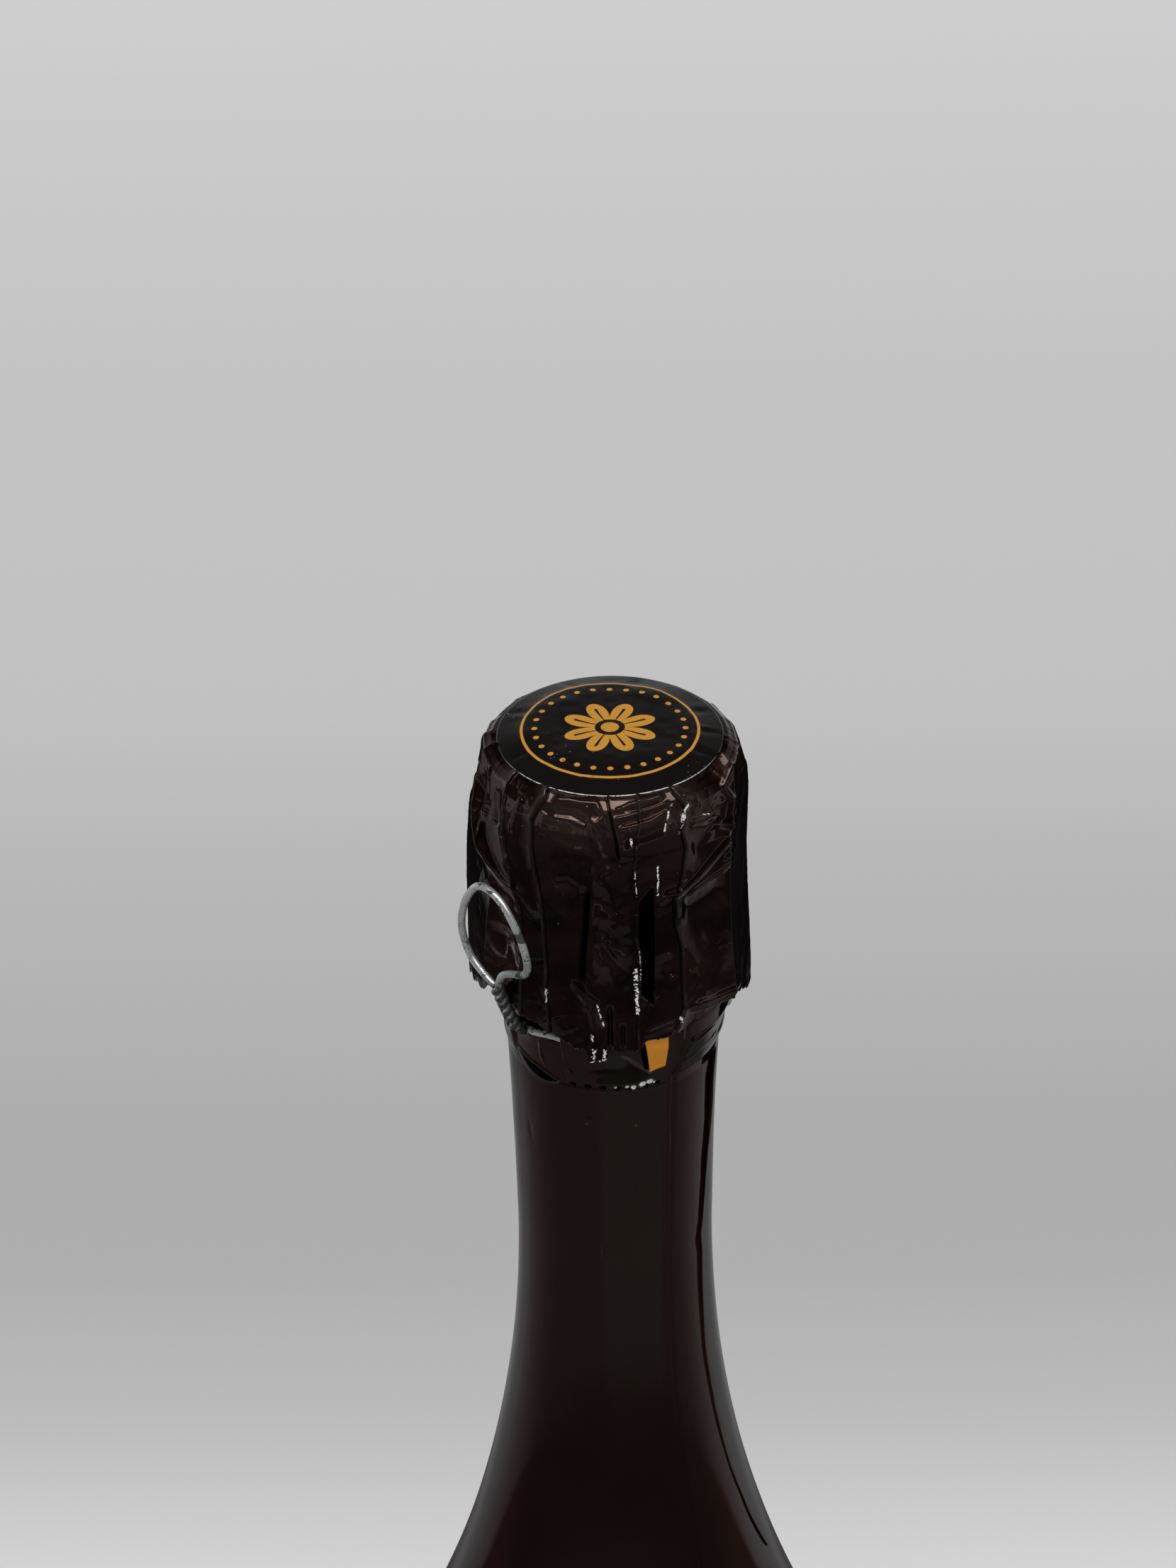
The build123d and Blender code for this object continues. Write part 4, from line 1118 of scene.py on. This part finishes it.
middle_ridges = (
    (-0.42, 0.7, [(-12.0, 306.5), (-12.4, 303.3), (-12.7, 298.3), (-12.0, 293.2), (-11.7, 289.0)]),
    (0.38, 0.45, [(-17.3, 290.8), (-12.2, 289.0), (-6.3, 287.2), (-3.9, 283.0)]),
    (-0.3, 0.5, [(-15.3, 289.4), (-11.2, 287.6), (-7.0, 286.0)]),
    (-0.5, 0.36, [(-1.4, 287.0), (-1.0, 279.0)]),
    (-0.4, 0.3, [(4.1, 283.8), (4.0, 279.5)]),
    (-0.3, 0.35, [(-10.8, 286.6), (-9.9, 282.9), (-9.6, 279.0)]),
    (0.25, 1.2, [(-24, 284.0), (-20, 281.5)]),
    (0.45, 0.6, [(12.5, 289.6), (17.0, 287.0)]),
    (-0.2, 0.9, [(-25, 305.6), (-18.7, 306.2), (-13.0, 305.4)]),
    (0.14, 0.7, [(17.5, 309), (17.8, 300), (17.6, 291)]))
for ridges, fade in ((side_ridges, 0.2), (seam_ridges, 0.12), (middle_ridges, 0.15)):
    for size, wide, points in ridges:
        ridge(points, size, wide, fade)

# Between two folds right of the middle the foil is sunk in, and its black is a painted dark reflection;
# the drop beside the recess left of it is painted black as shade. The panel between them is crumpled
# finely.
sunk_deep, sunk_slope, sunk_from, panel_out, rib_lift, rib_fine = 0.50, 0.35, 11, 0.10, 0.80, 0.05
sunk_right, sunk_low, sunk_high = (16.9, 17.2), (287.8, 289.0), (303.0, 303.9)
rib_sides, rib_heights = (-8.2, -7.0, 5.5, 8.5), (289, 294, 308, 313)
sunk = within(azimuth, azimuth_of(line_d) + 0.5, azimuth_of(line_d) + 0.9, *sunk_right)
slope = sunk_slope * (azimuth - sunk_from)
sunk *= ease(height, sunk_low[0] - slope, sunk_low[1] - slope)
sunk *= 1 - ease(height, sunk_high[0] + slope, sunk_high[1] + slope)
push -= sunk_deep * sunk
recess = azimuth_of(line_recess)
drop = within(azimuth, recess - 4.0, recess - 2.0, recess - 0.5, recess - 0.1)
dark = np.maximum(sunk, drop * held_between(288.5, 306.0, 4.0))
rib = within(azimuth, *rib_sides) * within(height, *rib_heights)
push += rib * (panel_out + rib_lift * (0.5 - np.abs(crumple(azimuth, height, 2.2, 1.9, 11))))
push += rib * rib_fine * crumple(azimuth, height, 0.8, 1.3, 12)

# Dents of three sizes all over, more of them at the sides and under the seam.
top_from, sides_from, rear_from = (312.0, 316.5), (48, 80), (85, 115)
top_zone = ease(height, *top_from)
side_zone = ease(np.abs(azimuth), *sides_from)
for size, stretch, seed, level, at_sides, at_top in (
        (7.5, 1.8, 21, 0.12, 0.16, 0), (3.4, 1.5, 22, 0.05, 0.04, 0.05), (1.6, 1.2, 23, 0.015, 0.02, 0.02)):
    dent = 0.5 - np.abs(crumple(azimuth, height, size, stretch, seed))
    push += (level + at_sides * side_zone + at_top * top_zone) * dent
push += 0.01 * crumple(azimuth, height, 0.9, 1.5, 24)
rear = ease(np.abs(azimuth), *rear_from)
hold = ease(share, 0.045 + 0.03 * rear, 0.085 + 0.135 * rear)
push *= hold

# The two sides are drawn out to the half widths that the front view shows.
drawn_wide, drawn_sight, drawn_blur = 26, 45, 6
half_widths = {
    -88: [(276, 19.8), (280.7, 20.25), (296, 20.2), (302, 19.95), (307.6, 19.44), (310.5, 19.1),
        (313.4, 18.5), (316.3, 17.6)],
    88: [(276, 19.2), (280.7, 19.5), (284, 19.5), (290, 19.25), (296, 18.95), (302, 18.75), (310.5, 18.95),
        (313.4, 18.75), (316.3, 17.75)]}
for side_azimuth, widths in half_widths.items():
    aside = periodic(azimuth - side_azimuth)
    shown = (radius + push * np.cos(lean)) * np.cos(np.radians(aside))
    shown = np.where(np.abs(aside) < drawn_sight, shown, 0).max(axis=1)
    lacking = np.interp(height[:, 0], *zip(*widths)) - shown
    blur = np.ones(2 * drawn_blur + 1) / (2 * drawn_blur + 1)
    lacking = np.convolve(np.pad(lacking, drawn_blur, mode="edge"), blur, mode="valid")
    pull = hill(aside, 0, drawn_wide) * (1 - ease(height, 315.5, 317.5))
    push += lacking[:, None] * pull / np.maximum(np.cos(lean), 0.5)
radius = radius + push * np.cos(lean)
flat_height = height
height = height + push * np.sin(lean)

# Scratches down to the bare foil, each with its width and its line.
bare = np.zeros(azimuth.shape)
for wide, scratch in (
        (0.24, [(8.4, 313.3), (8.2, 312.3)]), (0.17, [(19.3, 308.6), (19.2, 306.4), (18.9, 304.2)]),
        (0.29, [(9.3, 292.7), (9.7, 289.0), (10.1, 285.4)]),
        (0.15, [(-6.2, 287.2), (-5.0, 285.4), (-3.6, 283.2)]), (0.18, [(-8.7, 281.7), (-8.3, 280.7)]),
        (0.32, [(-7.8, 279.2), (-8.3, 277.0)]), (0.3, [(-3.6, 279.2), (-3.5, 277.4)]),
        (0.2, [(25.9, 316.3), (25.2, 315.2)]), (0.14, [(24.0, 314.8), (23.2, 313.8)]),
        (0.26, [(35.2, 315.9), (32.4, 315.3), (31.0, 314.4)]), (0.16, [(33.0, 315.2), (29.6, 312.9)]),
        (0.13, [(43.4, 314.1), (47.2, 313.6)]), (0.1, [(-27.8, 288.5), (-27.5, 286.2)]),
        (0.1, [(9.4, 308.6), (9.9, 304.6)]), (0.07, [(10.9, 296.0), (11.2, 294.0), (11.2, 291.0)]),
        (0.16, [(28.6, 283.2), (29.0, 282.6)]), (0.14, [(-9.4, 277.3), (-3.2, 277.6)]),
        (0.4, [(84, 277.8), (90, 277.4), (96, 277.8)])):
    away, side, run_share = line_field(azimuth, flat_height, hood_reach, scratch)
    bare = np.maximum(bare, 1 - ease(away, wide * 0.2, wide * 1.9))

deep_maroon, maroon = (0.030, 0.012, 0.011, 1), (0.072, 0.036, 0.029, 1)
shoulder_highlight_maroon, flake_tint = (0.155, 0.098, 0.082, 1), (0.18, 0.085, 0.07, 1)
crease_shade_brown, painted_sunk_black = (0.008, 0.005, 0.005, 1), (0.001, 0.001, 0.001, 1)
edge_highlight_grey, bare_foil, foil_tint = (0.34, 0.31, 0.30, 1), (0.86, 0.84, 0.82, 1), (0.3, 0.3, 0.3, 1)
hood_lacquer, start, shader = start_finish("hood_lacquer")
crease_shade_mark, dark_mark, bare_mark = marked(start, "crease"), marked(start, "dark"), marked(start, "bare")
edge_mark, shoulder_highlight_mark = marked(start, "edge"), marked(start, "stretched")
cloud = grain(start, 7 * mm, detail=4.0)
flake = grain(start, 0.10 * mm, detail=0.0)
chip = grain(start, 0.35 * mm, detail=4.0, roughness=0.7)
tone = mixed(between(cloud, 0.35, 0.65), deep_maroon, maroon)
# Painted highlight on the shoulder.
tone = mixed(shoulder_highlight_mark, tone, shoulder_highlight_maroon)
tone = mixed(between(flake, 0.58, 0.75) * 0.35, tone, flake_tint)
# Painted dark reflection and painted shade: the sunk panel and the drop go near black.
tone = mixed(dark_mark, tone, painted_sunk_black)
# Painted shade: the thin gaps under the lapped folds are painted near black.
tone = mixed(crease_shade_mark * 0.85, tone, crease_shade_brown)
# Painted highlight along the folds' edges.
tone = mixed(marked(start, "rubbed"), tone, edge_highlight_grey)
wear_and_highlight_breakup = between(bare_mark + 4.0 * chip, 2.88, 2.98) * between(bare_mark, 0.03, 0.12)
speck = between(grain(start, 0.30 * mm, detail=1.0), 0.80, 0.83)
silver = largest(wear_and_highlight_breakup, speck * 0.6, edge_mark * between(chip, 0.56, 0.66) * 0.6)
apply_finish(start, shader, {
    "Base Color": mixed(silver, tone, bare_foil),
    "Metallic": 1.0 - 0.75 * silver,
    "Specular Tint": foil_tint,
    "Roughness": 0.20 + 0.10 * chip + 0.09 * shoulder_highlight_mark,
    "Coat Weight": 0.85 - 0.85 * largest(silver, shoulder_highlight_mark * 0.5, dark_mark, crease_shade_mark * 0.7),
    "Coat Roughness": 0.06,
    "Normal": bumped(start, chip * 0.5 + flake * 0.12, 0.022 * mm),
})
hood = add_piece("hood", swung(np.radians(azimuth), radius, height), grid_faces(hood_rows, hood_columns),
                 hood_lacquer)
# Painted highlight: a lighter copper base on the front of the shoulder, for a brighter lamp highlight there.
shoulder_highlight_sides, shoulder_highlight_heights, shoulder_highlight_least = (-42, -30, 40, 52), (311.5, 316.5), 0.18
front = shoulder_highlight_least + (1 - shoulder_highlight_least) * within(azimuth, *shoulder_highlight_sides)
stretched = ease(flat_height, *shoulder_highlight_heights) * front
set_marks(hood, {"stretched": stretched, "crease": crease * hold, "dark": dark, "bare": bare,
                 "edge": ease(share, 0.9955, 0.9985), "rubbed": rubbed * hold})
thicken(hood, hood_sheet, -1)
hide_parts("hood_foil")
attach(hood, "hood")


# Head: a round of lacquered foil glued over the hood's gathered rim and domed by the cap plate under
# it. A gold print of one ring, a row of pearls and an eight-petalled rosette fills its middle.
head_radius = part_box("hood_head")[1].x / mm
head_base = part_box("hood_head")[0].z / mm
head_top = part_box("hood_head")[1].z / mm
head_rings, head_columns, head_sheet, dome_smoothings = 90, 360, 0.10, 6
dome = [(0, head_top - 0.12), (6, head_top - 0.16), (9.5, head_top - 0.26), (11.8, head_top - 0.46),
        (13.0, head_top - 0.82), (14.2, head_base + 0.42), (15.0, head_base + 0.24),
        (head_radius, head_base + 0.12)]
pleats = ((-24, 0.16, 0.5), (62, 0.30, 0.9), (84, 0.22, 0.7), (108, 0.25, 1.0), (-70, 0.14, 0.6),
          (-118, 0.22, 0.9), (160, 0.22, 1.1), (-160, 0.16, 0.7))
pleat_twist, dent_layer, dents_big, dents_small = 6, 3.0, (0.20, 6.5), (0.05, 1.8)

azimuth = np.arange(head_columns) * 360 / head_columns
reach, azimuth = np.meshgrid(np.linspace(0, 1, head_rings), azimuth, indexing="ij")
radius = head_radius * reach
height = np.interp(radius, *zip(*dome))
for smoothing in range(dome_smoothings):
    height[1:-1] = (height[:-2] + 2 * height[1:-1] + height[2:]) / 4
turn = np.radians(azimuth)
dents = np.zeros(azimuth.shape)
for row, column in np.ndindex(azimuth.shape):
    out, angle = radius[row, column], turn[row, column]
    spot = Vector((out * math.sin(angle), out * math.cos(angle), dent_layer))
    for deep, wide in (dents_big, dents_small):
        dents[row, column] += deep * noise.noise(spot / wide)
for place, size, wide in pleats:
    across = periodic(azimuth - place - pleat_twist * reach) * math.radians(1) * np.maximum(radius, 1)
    dents -= size * (hill(across, 0, wide) - 0.6 * hill(across, wide, wide)) * ease(reach, 0.70, 0.88)
height = np.minimum(height + dents * (1 - reach ** 6), head_top)


def band(value, centre, half, soft=0.05 * mm):
    """1 within half of a centre value, with a soft edge."""
    return 1 - between(abs(value - centre), half - soft, half + soft)


pearl_count, pearl_ring, pearl_size = 28, 10.3 * mm, 0.42 * mm
petal_count, petal_reach, petal_waist, petal_root = 8, 6.6 * mm, 0.35, (2.0 * mm, 2.1 * mm)
vein_end, eye_edge, ring_reach, ring_half = (5.2 * mm, 5.3 * mm), (1.2 * mm, 1.3 * mm), 12.1 * mm, 0.20 * mm
head_lacquer, start, shader = start_finish("head_lacquer")
around, reach = place_round(start)
cell = start.maths("FRACT", around * (pearl_count / (2 * math.pi)) + 0.5) - 0.5
along_ring = cell * (2 * math.pi * pearl_ring / pearl_count)
off_ring = reach - pearl_ring
off_pearl = (along_ring * along_ring + off_ring * off_ring) ** 0.5
pearls = 1 - between(off_pearl, pearl_size * 0.85, pearl_size * 1.1)
wave = abs(start.maths("SINE", around * (petal_count / 2)))
petal_edge = petal_reach * (petal_waist + (1 - petal_waist) * wave ** 0.6)
petals = (1 - between(reach - petal_edge, -0.05 * mm, 0.05 * mm)) * between(reach, *petal_root)
veins = band(wave, 1.0, 0.012, 0.006) * (1 - between(reach, *vein_end))
scrape = grain(start, 0.5 * mm, detail=5.0, roughness=0.75)
printed = largest(band(reach, ring_reach, ring_half), pearls, petals * (1 - veins),
                  1 - between(reach, *eye_edge))
printed = printed * (1 - between(scrape, 0.62, 0.66))
# Rim line of bare foil through the scrapes, with a painted highlight: strong at the front, faint at the back.
edge = between(reach, head_radius * mm - 0.14 * mm, head_radius * mm - 0.09 * mm)
edge = edge * (0.05 + 0.95 * between(-axis(place_on(start), 1), 5 * mm, 13 * mm))
cloud = grain(start, 7 * mm, detail=3.0)
specks = between(grain(start, 0.22 * mm), 0.735, 0.76) * between(grain(start, 4 * mm), 0.52, 0.62)
base = mixed(cloud, (0.0045, 0.0034, 0.0032, 1), (0.0085, 0.0058, 0.0052, 1))
base = mixed(printed, base, (0.47, 0.22, 0.022, 1))
base = mixed(largest(specks, edge * between(scrape, 0.38, 0.5)), base, (0.72, 0.71, 0.69, 1))
apply_finish(start, shader, {
    "Base Color": base,
    "Metallic": 0.25 * (1 - printed),
    "Roughness": 0.34 + 0.10 * scrape,
    "Specular IOR Level": 0.2,
    "Coat Weight": 0.7 - 0.4 * printed,
    "Coat Roughness": 0.16,
    "Normal": bumped(start, scrape * 0.4 + cloud * 2, 0.03 * mm),
})
head = add_piece("hood_top", swung(turn, radius, height), grid_faces(head_rings, head_columns), head_lacquer)
thicken(head, head_sheet, -1)
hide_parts("hood_head")
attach(head, "hood")
